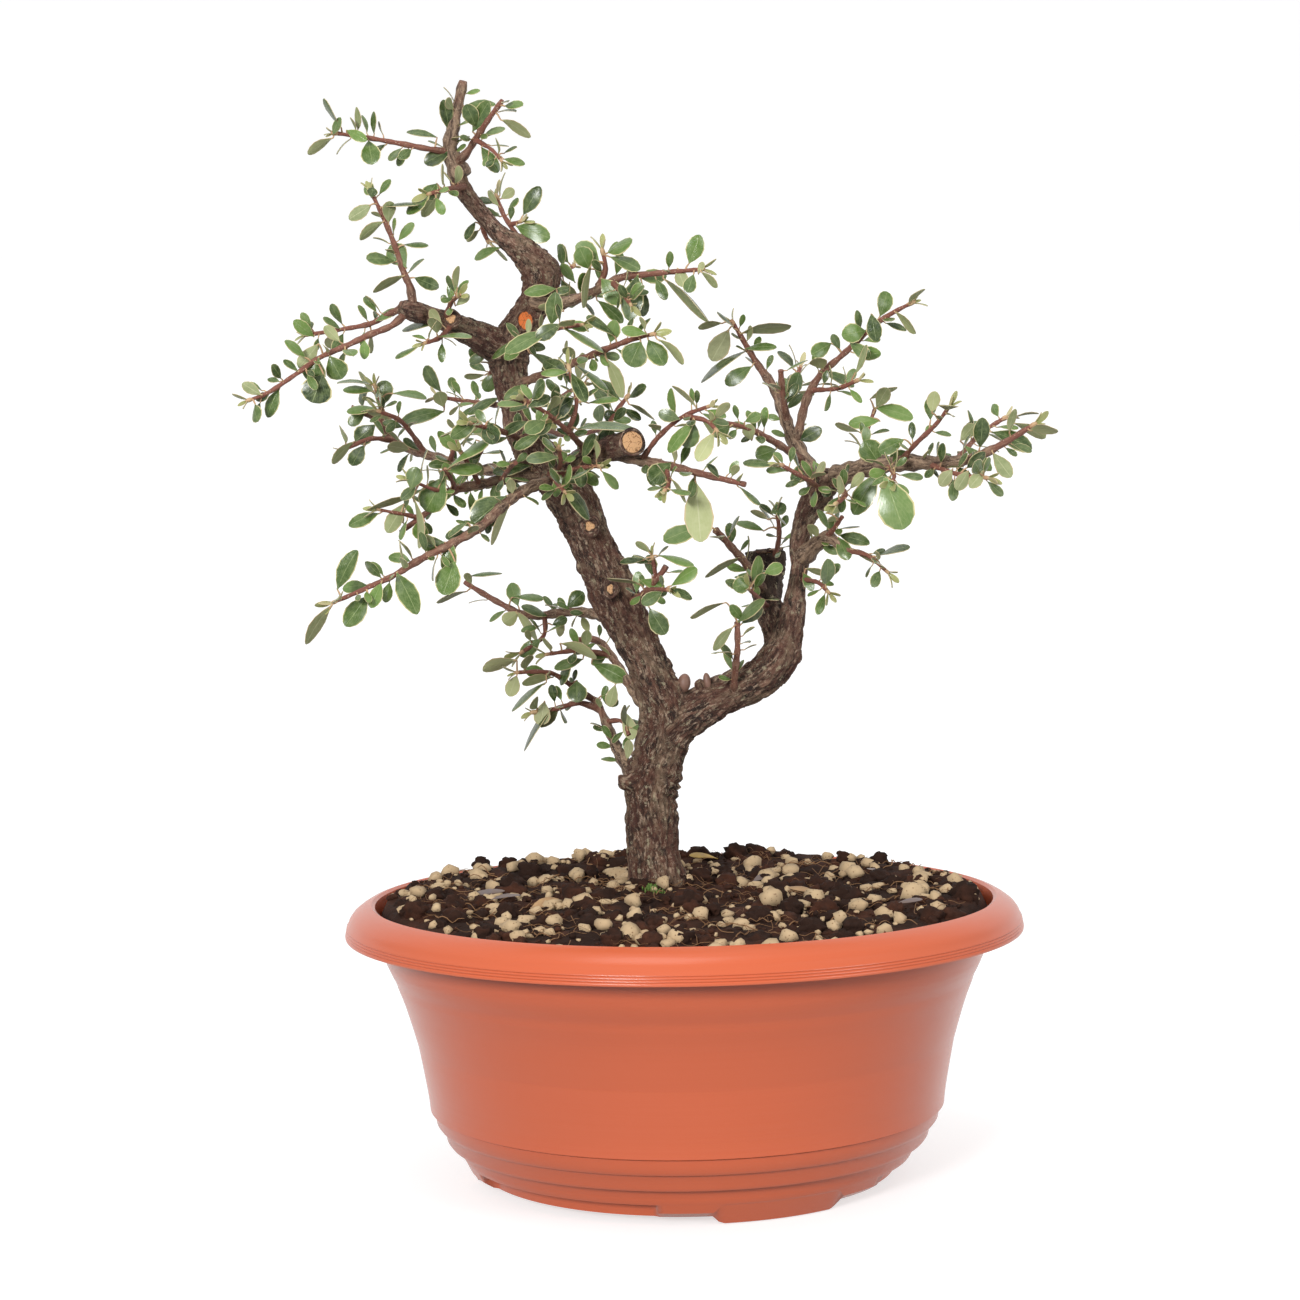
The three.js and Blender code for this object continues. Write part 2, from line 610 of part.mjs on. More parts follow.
    stems: [
      { ends: [1.1, 0.9], leaves: 1, path: [[55, 21, 262], [62, 6, 261], [66, -2, 257]] },
    ],
    shown: [
      [56, 265, 60, 257, 5], [57, 267, 66, 264, -3],
    ],
  },
];

// Seeded draws, so that the leaves and grains fall the same way each time
let seed = 20611;
function draw(low, high) {
  seed = (seed * 16807) % 2147483647;
  return low + (high - low) * (seed / 2147483647);
}

function vector(point) {
  return new THREE.Vector3(point[0], point[1], point[2]);
}

// Turns corner points and triangles into a closed solid, faces outward
function solidFromTriangles(points, triangles) {
  let volume = 0;
  for (const [a, b, c] of triangles) {
    volume += points[a].dot(points[b].clone().cross(points[c]));
  }
  const order = volume < 0 ? [0, 2, 1] : [0, 1, 2];
  const vertProperties = new Float32Array(points.flatMap((point) => point.toArray()));
  const triVerts = new Uint32Array(triangles.flatMap((corner) => order.map((k) => corner[k])));
  return new wasm.Manifold(new wasm.Mesh({ numProp: 3, vertProperties, triVerts }));
}

function solidFromGeometry(geometry) {
  const plain = geometry.index ? geometry.clone() : mergeVertices(geometry);
  plain.deleteAttribute('normal');
  plain.deleteAttribute('uv');
  const merged = mergeVertices(plain, 1e-3);
  const position = merged.attributes.position;
  const points = [];
  for (let k = 0; k < position.count; k += 1) {
    points.push(new THREE.Vector3().fromBufferAttribute(position, k));
  }
  const triangles = [];
  for (let k = 0; k < merged.index.count; k += 3) {
    const corner = [merged.index.getX(k), merged.index.getX(k + 1), merged.index.getX(k + 2)];
    if (new Set(corner).size === 3) {
      triangles.push(corner);
    }
  }
  return solidFromTriangles(points, triangles);
}

// Joins rings of points into a closed solid; a ring of one point makes a tip
function loft(rings) {
  const points = rings.flat();
  const triangles = [];
  const starts = [];
  let count = 0;
  for (const ring of rings) {
    starts.push(count);
    count += ring.length;
  }
  for (let k = 0; k + 1 < rings.length; k += 1) {
    const near = rings[k].length;
    const far = rings[k + 1].length;
    const sides = Math.max(near, far);
    for (let j = 0; j < sides; j += 1) {
      const next = (j + 1) % sides;
      if (far > 1) {
        triangles.push([starts[k] + (j % near), starts[k + 1] + next, starts[k + 1] + j]);
      }
      if (near > 1) {
        triangles.push([starts[k] + j, starts[k] + next, starts[k + 1] + (next % far)]);
      }
    }
  }
  const last = rings.length - 1;
  for (let j = 1; j + 1 < rings[0].length; j += 1) {
    triangles.push([0, j + 1, j]);
  }
  for (let j = 1; j + 1 < rings[last].length; j += 1) {
    triangles.push([starts[last], starts[last] + j, starts[last] + j + 1]);
  }
  return solidFromTriangles(points, triangles);
}

// Frames along a route: at each point the way on and two directions across it
function routeFrames(path) {
  const points = path.map(vector);
  const frames = [];
  let across = null;
  for (let k = 0; k < points.length; k += 1) {
    const before = points[Math.max(k - 1, 0)];
    const after = points[Math.min(k + 1, points.length - 1)];
    const along = after.clone().sub(before).normalize();
    if (across === null) {
      across = Math.abs(along.y) < 0.9 ? new THREE.Vector3(0, 1, 0) : new THREE.Vector3(1, 0, 0);
    }
    across = across.clone().addScaledVector(along, -across.dot(along)).normalize();
    frames.push({ point: points[k], along, across, side: along.clone().cross(across) });
  }
  return frames;
}

// A round route with its own radius at each point; ridge deepens furrows along it
function tube(path, radii, sides, ridge, grow) {
  const rings = routeFrames(path).map((frame, k) => {
    const ring = [];
    for (let j = 0; j < sides; j += 1) {
      const angle = (2 * Math.PI * j) / sides;
      const furrow = 1 + ridge * Math.sin(4.7 * j + 1.9 * k) + ridge * Math.sin(2.3 * j - 2.9 * k);
      const radius = radii[k] * furrow + grow;
      ring.push(frame.point.clone()
        .addScaledVector(frame.across, radius * Math.cos(angle))
        .addScaledVector(frame.side, radius * Math.sin(angle)));
    }
    return ring;
  });
  return loft(rings);
}

// Trunk, limbs, stubs and knots, grown in one piece
function barkSolid(grow) {
  const parts = limbs.map((limb) => tube(
    limb.path, limb.path.map((point) => point[3]), barkSides, barkRidge, grow,
  ));
  for (const [x, y, z, radius] of knots) {
    const lump = new THREE.IcosahedronGeometry(radius + grow, 0).translate(x, y, z);
    parts.push(solidFromGeometry(lump));
  }
  return parts.reduce((whole, part) => whole.add(part));
}

// Balls that stand for what is already there, so that new leaves bend clear of it
const taken = [];

function takeRoute(path, radii, owner) {
  for (let k = 0; k + 1 < path.length; k += 1) {
    const from = vector(path[k]);
    const to = vector(path[k + 1]);
    const steps = Math.ceil(from.distanceTo(to) / 4);
    for (let j = 0; j <= steps; j += 1) {
      const radius = radii[k] + ((radii[k + 1] - radii[k]) * j) / steps;
      taken.push({ middle: from.clone().lerp(to, j / steps), radius, owner, isLeaf: false });
    }
  }
}

function leafBalls(leaf) {
  const along = leaf.tip.clone().sub(leaf.base);
  const across = along.clone().normalize().cross(leaf.face).multiplyScalar(0.36 * leaf.width);
  const centres = [0.3, 0.65, 0.97].map((t) => leaf.base.clone().addScaledVector(along, t));
  const middle = leaf.base.clone().addScaledVector(along, 0.5);
  return [...centres, middle.clone().add(across), middle.clone().sub(across)];
}

function isClear(leaf, owner) {
  return leafBalls(leaf).every((ball) => taken.every((other) => {
    const distance = ball.distanceTo(other.middle);
    if (other.owner === owner) {
      return !other.isLeaf || distance > 2.4;
    }
    return distance > other.radius + 2;
  }));
}

function takeLeaf(leaf, owner) {
  for (const middle of leafBalls(leaf)) {
    taken.push({ middle, radius: 1.6, owner, isLeaf: true });
  }
}

// The upper face's direction, square to the leaf's length
function squareTo(along, wish) {
  return wish.clone().addScaledVector(along, -wish.dot(along)).normalize();
}

// The point of a spray's stems that lies nearest to x and z, as seen from the front
function nearestOnStems(stems, x, z) {
  let best = null;
  for (const stem of stems) {
    for (let k = 0; k + 1 < stem.path.length; k += 1) {
      const [ax, ay, az] = stem.path[k];
      const [bx, by, bz] = stem.path[k + 1];
      const length2 = (bx - ax) ** 2 + (bz - az) ** 2;
      const t = Math.min(Math.max(((x - ax) * (bx - ax) + (z - az) * (bz - az)) / length2, 0), 1);
      const point = new THREE.Vector3(ax + t * (bx - ax), ay + t * (by - ay), az + t * (bz - az));
      const distance = Math.hypot(point.x - x, point.z - z);
      if (best === null || distance < best.distance) {
        best = { distance, point };
      }
    }
  }
  return best.point;
}

// A leaf that stands out from the front: where its blade starts and ends there, and how wide it looks
function shownLeaf(stems, [x, z, tipX, tipZ, seenWidth]) {
  const root = nearestOnStems(stems, x, z);
  const length = Math.hypot(tipX - x, tipZ - z);
  const lean = draw(-0.55, 0.15) * length;
  const base = new THREE.Vector3(x, root.y - draw(0.5, 3), z);
  const tip = new THREE.Vector3(tipX, base.y + lean, tipZ);
  const along = tip.clone().sub(base).normalize();
  const width = Math.max(Math.abs(seenWidth), 0.5 * length);
  const turned = Math.acos(Math.min(Math.abs(seenWidth) / width, 1));
  const front = squareTo(along, new THREE.Vector3(0, seenWidth < 0 ? 1 : -1, 0));
  const upward = front.clone().cross(along);
  const face = front.multiplyScalar(Math.cos(turned))
    .addScaledVector(upward, Math.sin(turned) * (upward.z < 0 ? -1 : 1));
  return { root, base, tip, face, width };
}

// A leaf by rule: it sits at a place along its stem and turns out, up and toward the light
function ruledLeaf(stem, place, turn) {
  const segments = stem.path.length - 1;
  const k = Math.min(Math.floor(place * segments), segments - 1);
  const frame = routeFrames(stem.path)[k];
  const root = vector(stem.path[k]).lerp(vector(stem.path[k + 1]), place * segments - k);
  const angle = turn + draw(-0.6, 0.6);
  const out = frame.across.clone().multiplyScalar(Math.cos(angle))
    .addScaledVector(frame.side, Math.sin(angle));
  const along = out.multiplyScalar(draw(0.6, 1.1))
    .addScaledVector(frame.along, draw(0.2, 0.9))
    .add(new THREE.Vector3(draw(-0.2, 0.2), draw(-0.3, 0.1), draw(-0.1, 0.4)))
    .normalize();
  const length = draw(leafLength[0], leafLength[1]);
  const base = root.clone().addScaledVector(along, draw(2, 4));
  const tip = base.clone().addScaledVector(along, length);
  const outward = new THREE.Vector3(base.x - crownMiddle[0], base.y - crownMiddle[1], 0).normalize();
  const wish = outward.multiplyScalar(0.45)
    .add(new THREE.Vector3(draw(-0.6, 0.6), draw(-1, 0.3), draw(0.2, 1.1)));
  return { root, base, tip, face: squareTo(along, wish), width: length * draw(leafShape[0], leafShape[1]) };
}

// Draws a leaf again until it is clear of the other sprays; returns the last draw where none is
function clearLeaf(makeLeaf, owner) {
  let leaf = makeLeaf();
  for (let k = 1; k < leafTries && !isClear(leaf, owner); k += 1) {
    leaf = makeLeaf();
  }
  return leaf;
}

function sprayLeaves(spray) {
  const leaves = [];
  for (const numbers of spray.shown) {
    const leaf = clearLeaf(() => shownLeaf(spray.stems, numbers), spray.name);
    takeLeaf(leaf, spray.name);
    leaves.push(leaf);
  }
  for (const stem of spray.stems) {
    for (let k = 0; k < stem.leaves; k += 1) {
      const place = 0.3 + (0.7 * (k + 0.8)) / stem.leaves;
      const leaf = clearLeaf(() => ruledLeaf(stem, Math.min(place, 1), 2.4 * k + stem.ends[0]), spray.name);
      if (isClear(leaf, spray.name)) {
        takeLeaf(leaf, spray.name);
        leaves.push(leaf);
      }
    }
  }
  return leaves;
}

// Half widths along a blade, as [place, share of the full half width]
function bladeStations(length) {
  return length > longLeaf ? [[0.24, 0.72], [0.52, 1], [0.82, 0.7]] : [[0.32, 0.86], [0.72, 0.88]];
}

// Three points across a leaf: two edges above and a keel below, square to the way it runs there
function leafRing(middle, way, face, halfWidth, depth, grow) {
  const up = squareTo(way, face);
  const across = way.clone().cross(up);
  return [
    middle.clone().addScaledVector(across, halfWidth + grow).addScaledVector(up, grow),
    middle.clone().addScaledVector(across, -halfWidth - grow).addScaledVector(up, grow),
    middle.clone().addScaledVector(up, -depth - grow),
  ];
}

// An arched blade with a keel below, on a stalk whose foot is sunk in the stem
function leafSolid(leaf, grow) {
  const blade = leaf.tip.clone().sub(leaf.base);
  const length = blade.length();
  const along = blade.clone().normalize();
  const stalk = leaf.base.clone().sub(leaf.root);
  const stalkWay = stalk.clone().normalize();
  const rings = [];
  if (stalk.length() > longStalk) {
    const way = stalkWay.clone().add(along).normalize();
    rings.push(leafRing(leaf.root, stalkWay, leaf.face, stalkHalf, 2 * stalkHalf, grow));
    rings.push(leafRing(leaf.base, way, leaf.face, stalkHalf + 0.2, 2 * stalkHalf, grow));
  } else {
    rings.push([leaf.root.clone().addScaledVector(stalkWay, -stalkSunk - grow)]);
  }
  for (const [place, share] of bladeStations(length)) {
    const middle = leaf.base.clone().addScaledVector(blade, place)
      .addScaledVector(leaf.face, 0.24 * length * place * (1 - place));
    rings.push(leafRing(middle, along, leaf.face, (share * leaf.width) / 2, bladeDepth, grow));
  }
  rings.push([leaf.tip.clone().addScaledVector(along, grow)]);
  return loft(rings);
}

function stemSolid(stem, grow) {
  const last = stem.path.length - 1;
  const radii = stem.path.map((_, k) => stem.ends[0] + ((stem.ends[1] - stem.ends[0]) * k) / last);
  return tube(stem.path, radii, stem.ends[0] > thickStem ? 5 : 3, 0, grow);
}

// The largest body of a solid, without the scraps that a cut leaves loose
function largestBody(solid) {
  const bodies = solid.decompose();
  return bodies.reduce((best, body) => (body.volume() > best.volume() ? body : best));
}

function meets(solid, other) {
  return !solid.intersect(other).isEmpty();
}

// A ring round the bowl's axis: radius and height may change with the angle from the nearest foot
function bowlRing(place) {
  const ring = [];
  for (const centre of footCentres) {
    for (const station of stationAngles) {
      const angle = THREE.MathUtils.degToRad(centre + station);
      const [radius, height] = place(Math.abs(station), angle);
      ring.push(new THREE.Vector3(radius * Math.cos(angle), radius * Math.sin(angle), height));
    }
  }
  return ring;
}

function underside(fromFoot) {
  if (fromFoot <= footHalf) {
    return underFoot;
  }
  return fromFoot <= shoulderHalf ? underShoulder : underGap;
}

function bowlSolid() {
  const rings = [[new THREE.Vector3(0, 0, floorUnderside)], bowlRing(() => [footInner, floorUnderside])];
  for (let k = 0; k < underFoot.length; k += 1) {
    rings.push(bowlRing((fromFoot) => underside(fromFoot)[k]));
  }
  for (const point of bowlOutline) {
    rings.push(bowlRing(() => point));
  }
  rings.push([new THREE.Vector3(0, 0, floorTop)]);
  let bowl = loft(rings);
  for (let k = 0; k < drainCount; k += 1) {
    const angle = (2 * Math.PI * (k + 0.5)) / drainCount;
    const drill = new THREE.CylinderGeometry(drainRadius, drainRadius, 8, 10).rotateX(Math.PI / 2)
      .translate(drainCircle * Math.cos(angle), drainCircle * Math.sin(angle), 5);
    bowl = bowl.subtract(solidFromGeometry(drill));
  }
  return bowl;
}

function soilHeight(x, y) {
  const far = Math.hypot(x, y) / 137;
  const clods = Math.sin(0.21 * x + 1.1) * Math.cos(0.17 * y) + 0.8 * Math.sin(0.09 * x - 0.13 * y);
  return soilLevel + soilMound * (1 - far * far) + 1.3 * clods * (1 - far * far * far);
}

// Soil up to the bowl's inner wall, with clods and grains, round the trunk's foot
function soilSolid() {
  const wall = bowlOutline.slice(-4).reverse();
  const rings = wall.map(([radius, height], k) => (
    bowlRing(() => [radius - 2 * touchGap, height + (k === 0 ? touchGap : 0)])
  ));
  rings.unshift([new THREE.Vector3(0, 0, floorTop + touchGap)]);
  rings.push(bowlRing(() => soilEdge));
  for (const radius of soilRings) {
    rings.push(bowlRing((_, angle) => (
      [radius, soilHeight(radius * Math.cos(angle), radius * Math.sin(angle))]
    )));
  }
  rings.push([new THREE.Vector3(0, 0, soilHeight(0, 0))]);
  let soil = loft(rings);
  for (let k = 0; k < grainCount; k += 1) {
    const radius = 126 * Math.sqrt(draw(0.03, 1));
    const angle = draw(0, 2 * Math.PI);
    const size = draw(grainSize[0], grainSize[1]);
    const x = radius * Math.cos(angle);
    const y = radius * Math.sin(angle);
    soil = soil.add(grainSolid(x, y, soilHeight(x, y) + 0.1 * size, size));
  }
  return soil.subtract(barkSolid(touchGap));
}

// A blunt angular grain of pumice, wider at its foot
function grainSolid(x, y, z, size) {
  const turn = draw(0, Math.PI);
  const wide = size * draw(0.3, 0.42);
  const foot = [];
  const top = [];
  for (const [along, across] of [[-0.5, -1], [0.5, -1], [0.5, 1], [-0.5, 1]]) {
    const u = size * along;
    const v = wide * across;
    foot.push(new THREE.Vector3(u * draw(0.9, 1.1), v, -0.4 * size));
    top.push(new THREE.Vector3(u * draw(0.5, 0.9), v * draw(0.5, 0.9), size * draw(0.18, 0.34)));
  }
  const place = new THREE.Matrix4().makeRotationZ(turn).setPosition(x, y, z);
  return loft([foot, top].map((ring) => ring.map((point) => point.applyMatrix4(place))));
}

function bodyMesh(name, solid, material) {
  const mesh = solid.getMesh();
  const geometry = new THREE.BufferGeometry();
  const points = new Float32Array((mesh.vertProperties.length / mesh.numProp) * 3);
  for (let k = 0; k < points.length; k += 1) {
    points[k] = mesh.vertProperties[Math.floor(k / 3) * mesh.numProp + (k % 3)];
  }
  geometry.setAttribute('position', new THREE.BufferAttribute(points, 3));
  geometry.setIndex(new THREE.BufferAttribute(new Uint32Array(mesh.triVerts), 1));
  const body = new THREE.Mesh(geometry, material);
  body.name = name;
  return body;
}

// Colours and finishes
const terracotta = new THREE.MeshStandardMaterial({ color: 0xcd6e50, roughness: 0.42, metalness: 0 });
const earth = new THREE.MeshStandardMaterial({ color: 0x3c281e, roughness: 0.95, metalness: 0 });
const bark = new THREE.MeshStandardMaterial({ color: 0x5f4b41, roughness: 0.85, metalness: 0 });
const foliage = new THREE.MeshStandardMaterial({ color: 0x4a6b3a, roughness: 0.4, metalness: 0 });

const tree = new THREE.Group();
tree.add(bodyMesh('pot', bowlSolid(), terracotta));
tree.add(bodyMesh('soil', soilSolid(), earth));
tree.add(bodyMesh('trunk_and_limbs', barkSolid(0), bark));

// What stays clear of the limbs and of each spray that was made before
for (const limb of limbs) {
  takeRoute(limb.path, limb.path.map((point) => point[3]), 'limbs');
}
for (const spray of sprays) {
  for (const stem of spray.stems) {
    takeRoute(stem.path, stem.path.map(() => stem.ends[0]), spray.name);
  }
}
const clearOfBark = barkSolid(touchGap);
seed = leafSeed;
const made = [];
for (const spray of sprays) {
  const leaves = sprayLeaves(spray);
  const large = leaves.filter((leaf) => leaf.base.distanceTo(leaf.tip) > smallLeaf);
  const parts = (grow) => [
    ...spray.stems.map((stem) => stemSolid(stem, grow)),
    ...large.map((leaf) => leafSolid(leaf, grow)),
  ];
  let solid = parts(0).reduce((whole, part) => whole.add(part)).subtract(clearOfBark);
  for (const other of made.filter((earlier) => meets(solid, earlier.solid))) {
    for (const grow of [touchGap, 2 * touchGap, 4 * touchGap]) {
      if (meets(solid, other.solid)) {
        const crossing = other.parts(grow).filter((part) => meets(solid, part));
        solid = crossing.reduce((whole, part) => whole.subtract(part), solid);
      }
    }
  }
  solid = largestBody(solid);
  made.push({ solid, parts });
  tree.add(bodyMesh(spray.name, solid, foliage));
}

// The middle of the box's underside is the origin
const box = new THREE.Box3().setFromObject(tree);
tree.position.set(-(box.min.x + box.max.x) / 2, -(box.min.y + box.max.y) / 2, -box.min.z);

export default tree;
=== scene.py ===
# A bearberry cotoneaster grown as a small tree, in soil, in a round terracotta-coloured plastic bowl.
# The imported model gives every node's place; each section below makes one piece's fine form and finish.
import math
import random

import bmesh
import bpy
from mathutils import Matrix, Vector, kdtree, noise
from mathutils.bvhtree import BVHTree


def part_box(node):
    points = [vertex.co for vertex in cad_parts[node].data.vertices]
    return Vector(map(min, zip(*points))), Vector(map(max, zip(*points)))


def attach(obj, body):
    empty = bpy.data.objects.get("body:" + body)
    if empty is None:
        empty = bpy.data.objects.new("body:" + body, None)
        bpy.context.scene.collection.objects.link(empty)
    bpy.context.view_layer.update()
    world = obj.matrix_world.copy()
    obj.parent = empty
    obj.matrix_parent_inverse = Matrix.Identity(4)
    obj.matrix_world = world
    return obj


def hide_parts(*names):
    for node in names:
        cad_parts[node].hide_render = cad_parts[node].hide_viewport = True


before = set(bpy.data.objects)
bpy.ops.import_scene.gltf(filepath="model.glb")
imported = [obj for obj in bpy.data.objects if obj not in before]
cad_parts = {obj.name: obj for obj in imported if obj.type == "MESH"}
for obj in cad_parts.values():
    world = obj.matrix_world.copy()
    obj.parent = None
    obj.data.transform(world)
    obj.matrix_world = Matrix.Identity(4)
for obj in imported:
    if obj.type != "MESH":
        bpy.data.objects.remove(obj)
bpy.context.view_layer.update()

# The bowl's axis, from which every place below is given in millimetres. The rim's solid has a corner
# two degrees off the X axis and one on the Y axis, so its box shows where the axis stands.
MM = 0.001
RIM_RADIUS = 150
bowl_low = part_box("pot")[0]
AXIS = Vector((
    bowl_low.x + RIM_RADIUS * math.cos(math.radians(2)) * MM,
    bowl_low.y + RIM_RADIUS * MM,
    0,
))

# Camera: a short telephoto lens on a stand, about 1.2 m away, at about two thirds of the tree's height.
# It looks down a little and leans slightly to one side, as the photograph does.
CAMERA_DISTANCE = 1235
CAMERA_HEIGHT = 307.5
CAMERA_PITCH = 3.47
CAMERA_YAW = -0.60
CAMERA_ROLL = -1.03


def linked(name, data):
    """An object of some data, put in the scene."""
    new = bpy.data.objects.new(name, data)
    bpy.context.scene.collection.objects.link(new)
    return new


camera_data = bpy.data.cameras.new("camera")
camera_data.sensor_width = 36
camera_data.lens = 77.5
camera = linked("camera", camera_data)
camera.matrix_world = (
    Matrix.Translation(AXIS + Vector((0, -CAMERA_DISTANCE, CAMERA_HEIGHT)) * MM)
    @ Matrix.Rotation(math.radians(-CAMERA_YAW), 4, "Z")
    @ Matrix.Rotation(math.radians(90 - CAMERA_PITCH), 4, "X")
    @ Matrix.Rotation(math.radians(CAMERA_ROLL), 4, "Z")
)
bpy.context.scene.camera = camera


# Bowl: injection-moulded polypropylene, coloured to look like fired clay. The mould gives it a drooping
# rim with fine grooves at its edge, faint rings round the wall, three rounded steps at the foot and
# three low feet under the base.
WALL = [
    (114.2, 31.9), (114.9, 38), (116.6, 48), (118.9, 60), (121.6, 70), (124.7, 80), (128.2, 89),
    (131.0, 95.5),
]
FOOT_STEPS = [
    (99.4, 9.4), (100.9, 12), (101.5, 15.8), (102.2, 16.5), (106.1, 16.9), (107.2, 18.5), (108, 23.2),
    (108.7, 24), (110.3, 24.4), (111.5, 26), (112.3, 31), (113.1, 31.7),
]
UNDER_RIM = [(132.1, 98), (132.9, 104), (133.4, 112.4), (134.4, 113.4), (146.6, 113), (148.6, 109.6)]
RIM_EDGE = (149.8, 109.4)
RIM_GROOVES = 4
GROOVE_PITCH = 1.15
GROOVE_DEPTH = 0.35
GROOVE_LEAN = 0.22
FIRST_GROOVE = 0.7
RIM_TOP = [
    (147.9, 116.6), (146.2, 118.9), (143.4, 121), (140.6, 122.6), (138.2, 123.3), (136.6, 122.4),
    (135.6, 119),
]
INSIDE = [(131.8, 108), (125.6, 90), (99, 14), (90.4, 11.6), (89.4, 6.2), (0, 6.2)]
UNDERSIDE_IN = [(0, 3), (78, 3)]
UNDER_FOOT = [(79, 0), (94, 0), (98.9, 8.8)]
UNDER_SHOULDER = [(79, 3), (93.4, 3), (97.4, 5.4)]
UNDER_GAP = [(79, 3), (92, 3), (93, 9)]
FOOT_ANGLES = (54, 174, 294)
FOOT_HALF = 16
SHOULDER_HALF = 31.5
FOOT_EDGE = 1.5
BOWL_STEPS = 240
WALL_RINGS = (88.5, 91.5, 61.0)
WALL_RING_DEPTH = 0.35
WALL_RING_HALF = 1.6
SHARP_EDGE = math.radians(38)
SAME_SPOT = 0.01
SAME_ROW = 0.05


def smooth_route(points, step):
    """A smooth curve through a few points, which may carry a radius as a fourth number."""
    points = [Vector(point) for point in points]
    route = []
    for k in range(len(points) - 1):
        before = points[max(k - 1, 0)]
        start, end = points[k], points[k + 1]
        after = points[min(k + 2, len(points) - 1)]
        count = max(1, round((end - start).length / step))
        for j in range(count):
            t = j / count
            route.append(0.5 * (
                2 * start
                + (end - before) * t
                + (2 * before - 5 * start + 4 * end - after) * t * t
                + (3 * start - before - 3 * end + after) * t * t * t
            ))
    route.append(points[-1])
    return route


def colour(code):
    """An sRGB hex code as the linear colour that a socket takes."""
    parts = [int(code[k:k + 2], 16) / 255 for k in (1, 3, 5)]
    linear = [c / 12.92 if c <= 0.04045 else ((c + 0.055) / 1.055) ** 2.4 for c in parts]
    return (*linear, 1.0)


def node(tree, kind, inputs=None, **settings):
    """Adds one node with its settings, then sets or links its inputs by name or number."""
    new = tree.nodes.new(kind)
    for name, value in settings.items():
        setattr(new, name, value)
    for name, value in (inputs or {}).items():
        if isinstance(value, bpy.types.NodeSocket):
            tree.links.new(value, new.inputs[name])
        else:
            new.inputs[name].default_value = value
    return new


def new_material(name, roughness, ior=1.45):
    """A material with its gloss and bending of light set; returns it, its node tree and its shader."""
    material = bpy.data.materials.new(name)
    material.use_nodes = True
    shader = material.node_tree.nodes["Principled BSDF"]
    shader.inputs["Roughness"].default_value = roughness
    shader.inputs["IOR"].default_value = ior
    return material, material.node_tree, shader


def as_mesh(form, name):
    """A bmesh as mesh data, after which the bmesh is gone."""
    data = bpy.data.meshes.new(name)
    form.to_mesh(data)
    form.free()
    return data


def finished(form, name, materials, replaced=()):
    """Makes an object of a finished bmesh, at the origin, riding with the tree and bowl."""
    data = as_mesh(form, name)
    for material in materials:
        data.materials.append(material)
    piece = linked(name, data)
    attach(piece, "root")
    if replaced:
        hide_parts(*replaced)
    return piece


def smooth_steps(value, low, high):
    """0 up to low, 1 from high, and a soft slope between them."""
    t = min(max((value - low) / (high - low), 0), 1)
    return t * t * (3 - 2 * t)


def bowl_outline():
    """Half of the bowl's section, from the base's middle up the outside and down the inside."""
    wall = []
    for radius, height in smooth_route(WALL, 2):
        near = min(abs(height - ring) for ring in WALL_RINGS)
        wall.append((radius - WALL_RING_DEPTH * (1 - smooth_steps(near, 0, WALL_RING_HALF)), height))
    grooves = []
    for k in range(RIM_GROOVES):
        radius = RIM_EDGE[0] - GROOVE_LEAN * k
        height = RIM_EDGE[1] + FIRST_GROOVE + GROOVE_PITCH * k
        grooves.append((radius + 0.1, height))
        grooves.append((radius, height + 0.35 * GROOVE_PITCH))
        grooves.append((radius - GROOVE_DEPTH, height + 0.6 * GROOVE_PITCH))
    outside = UNDERSIDE_IN + UNDER_GAP + FOOT_STEPS + wall + UNDER_RIM
    return outside + [RIM_EDGE] + grooves + RIM_TOP + INSIDE


def shape_feet(mesh):
    """Lowers the feet and their shoulders from the plain ring that the spin leaves under the base."""
    for vert in mesh.verts:
        place = vert.co - AXIS
        radius = math.hypot(place.x, place.y) / MM
        height = place.z / MM
        rows = [k for k, row in enumerate(UNDER_GAP) if math.dist(row, (radius, height)) < SAME_ROW]
        if not rows:
            continue
        angle = math.degrees(math.atan2(place.y, place.x))
        from_foot = min(abs((angle - foot + 180) % 360 - 180) for foot in FOOT_ANGLES)
        foot = 1 - smooth_steps(from_foot, FOOT_HALF, FOOT_HALF + FOOT_EDGE)
        shoulder = 1 - smooth_steps(from_foot, SHOULDER_HALF, SHOULDER_HALF + FOOT_EDGE)
        row = Vector(UNDER_GAP[rows[0]])
        row = row.lerp(Vector(UNDER_SHOULDER[rows[0]]), shoulder)
        row = row.lerp(Vector(UNDER_FOOT[rows[0]]), foot)
        turn = Vector((place.x, place.y, 0)).normalized()
        vert.co = AXIS + turn * (row.x * MM) + Vector((0, 0, row.y * MM))


def spun(outline, steps):
    """A closed body turned about the bowl's axis from half its section, in millimetres."""
    body = bmesh.new()
    points = [body.verts.new(AXIS + Vector((radius, 0, height)) * MM) for radius, height in outline]
    edges = [body.edges.new(pair) for pair in zip(points, points[1:])]
    bmesh.ops.spin(
        body, geom=points + edges, cent=AXIS, axis=(0, 0, 1), angle=2 * math.pi, steps=steps,
        use_merge=True,
    )
    bmesh.ops.remove_doubles(body, verts=body.verts, dist=SAME_SPOT * MM)
    bmesh.ops.recalc_face_normals(body, faces=body.faces)
    return body


bowl = spun(bowl_outline(), BOWL_STEPS)
shape_feet(bowl)
for face in bowl.faces:
    face.smooth = True
for edge in bowl.edges:
    if len(edge.link_faces) == 2 and edge.calc_face_angle() > SHARP_EDGE:
        edge.smooth = False

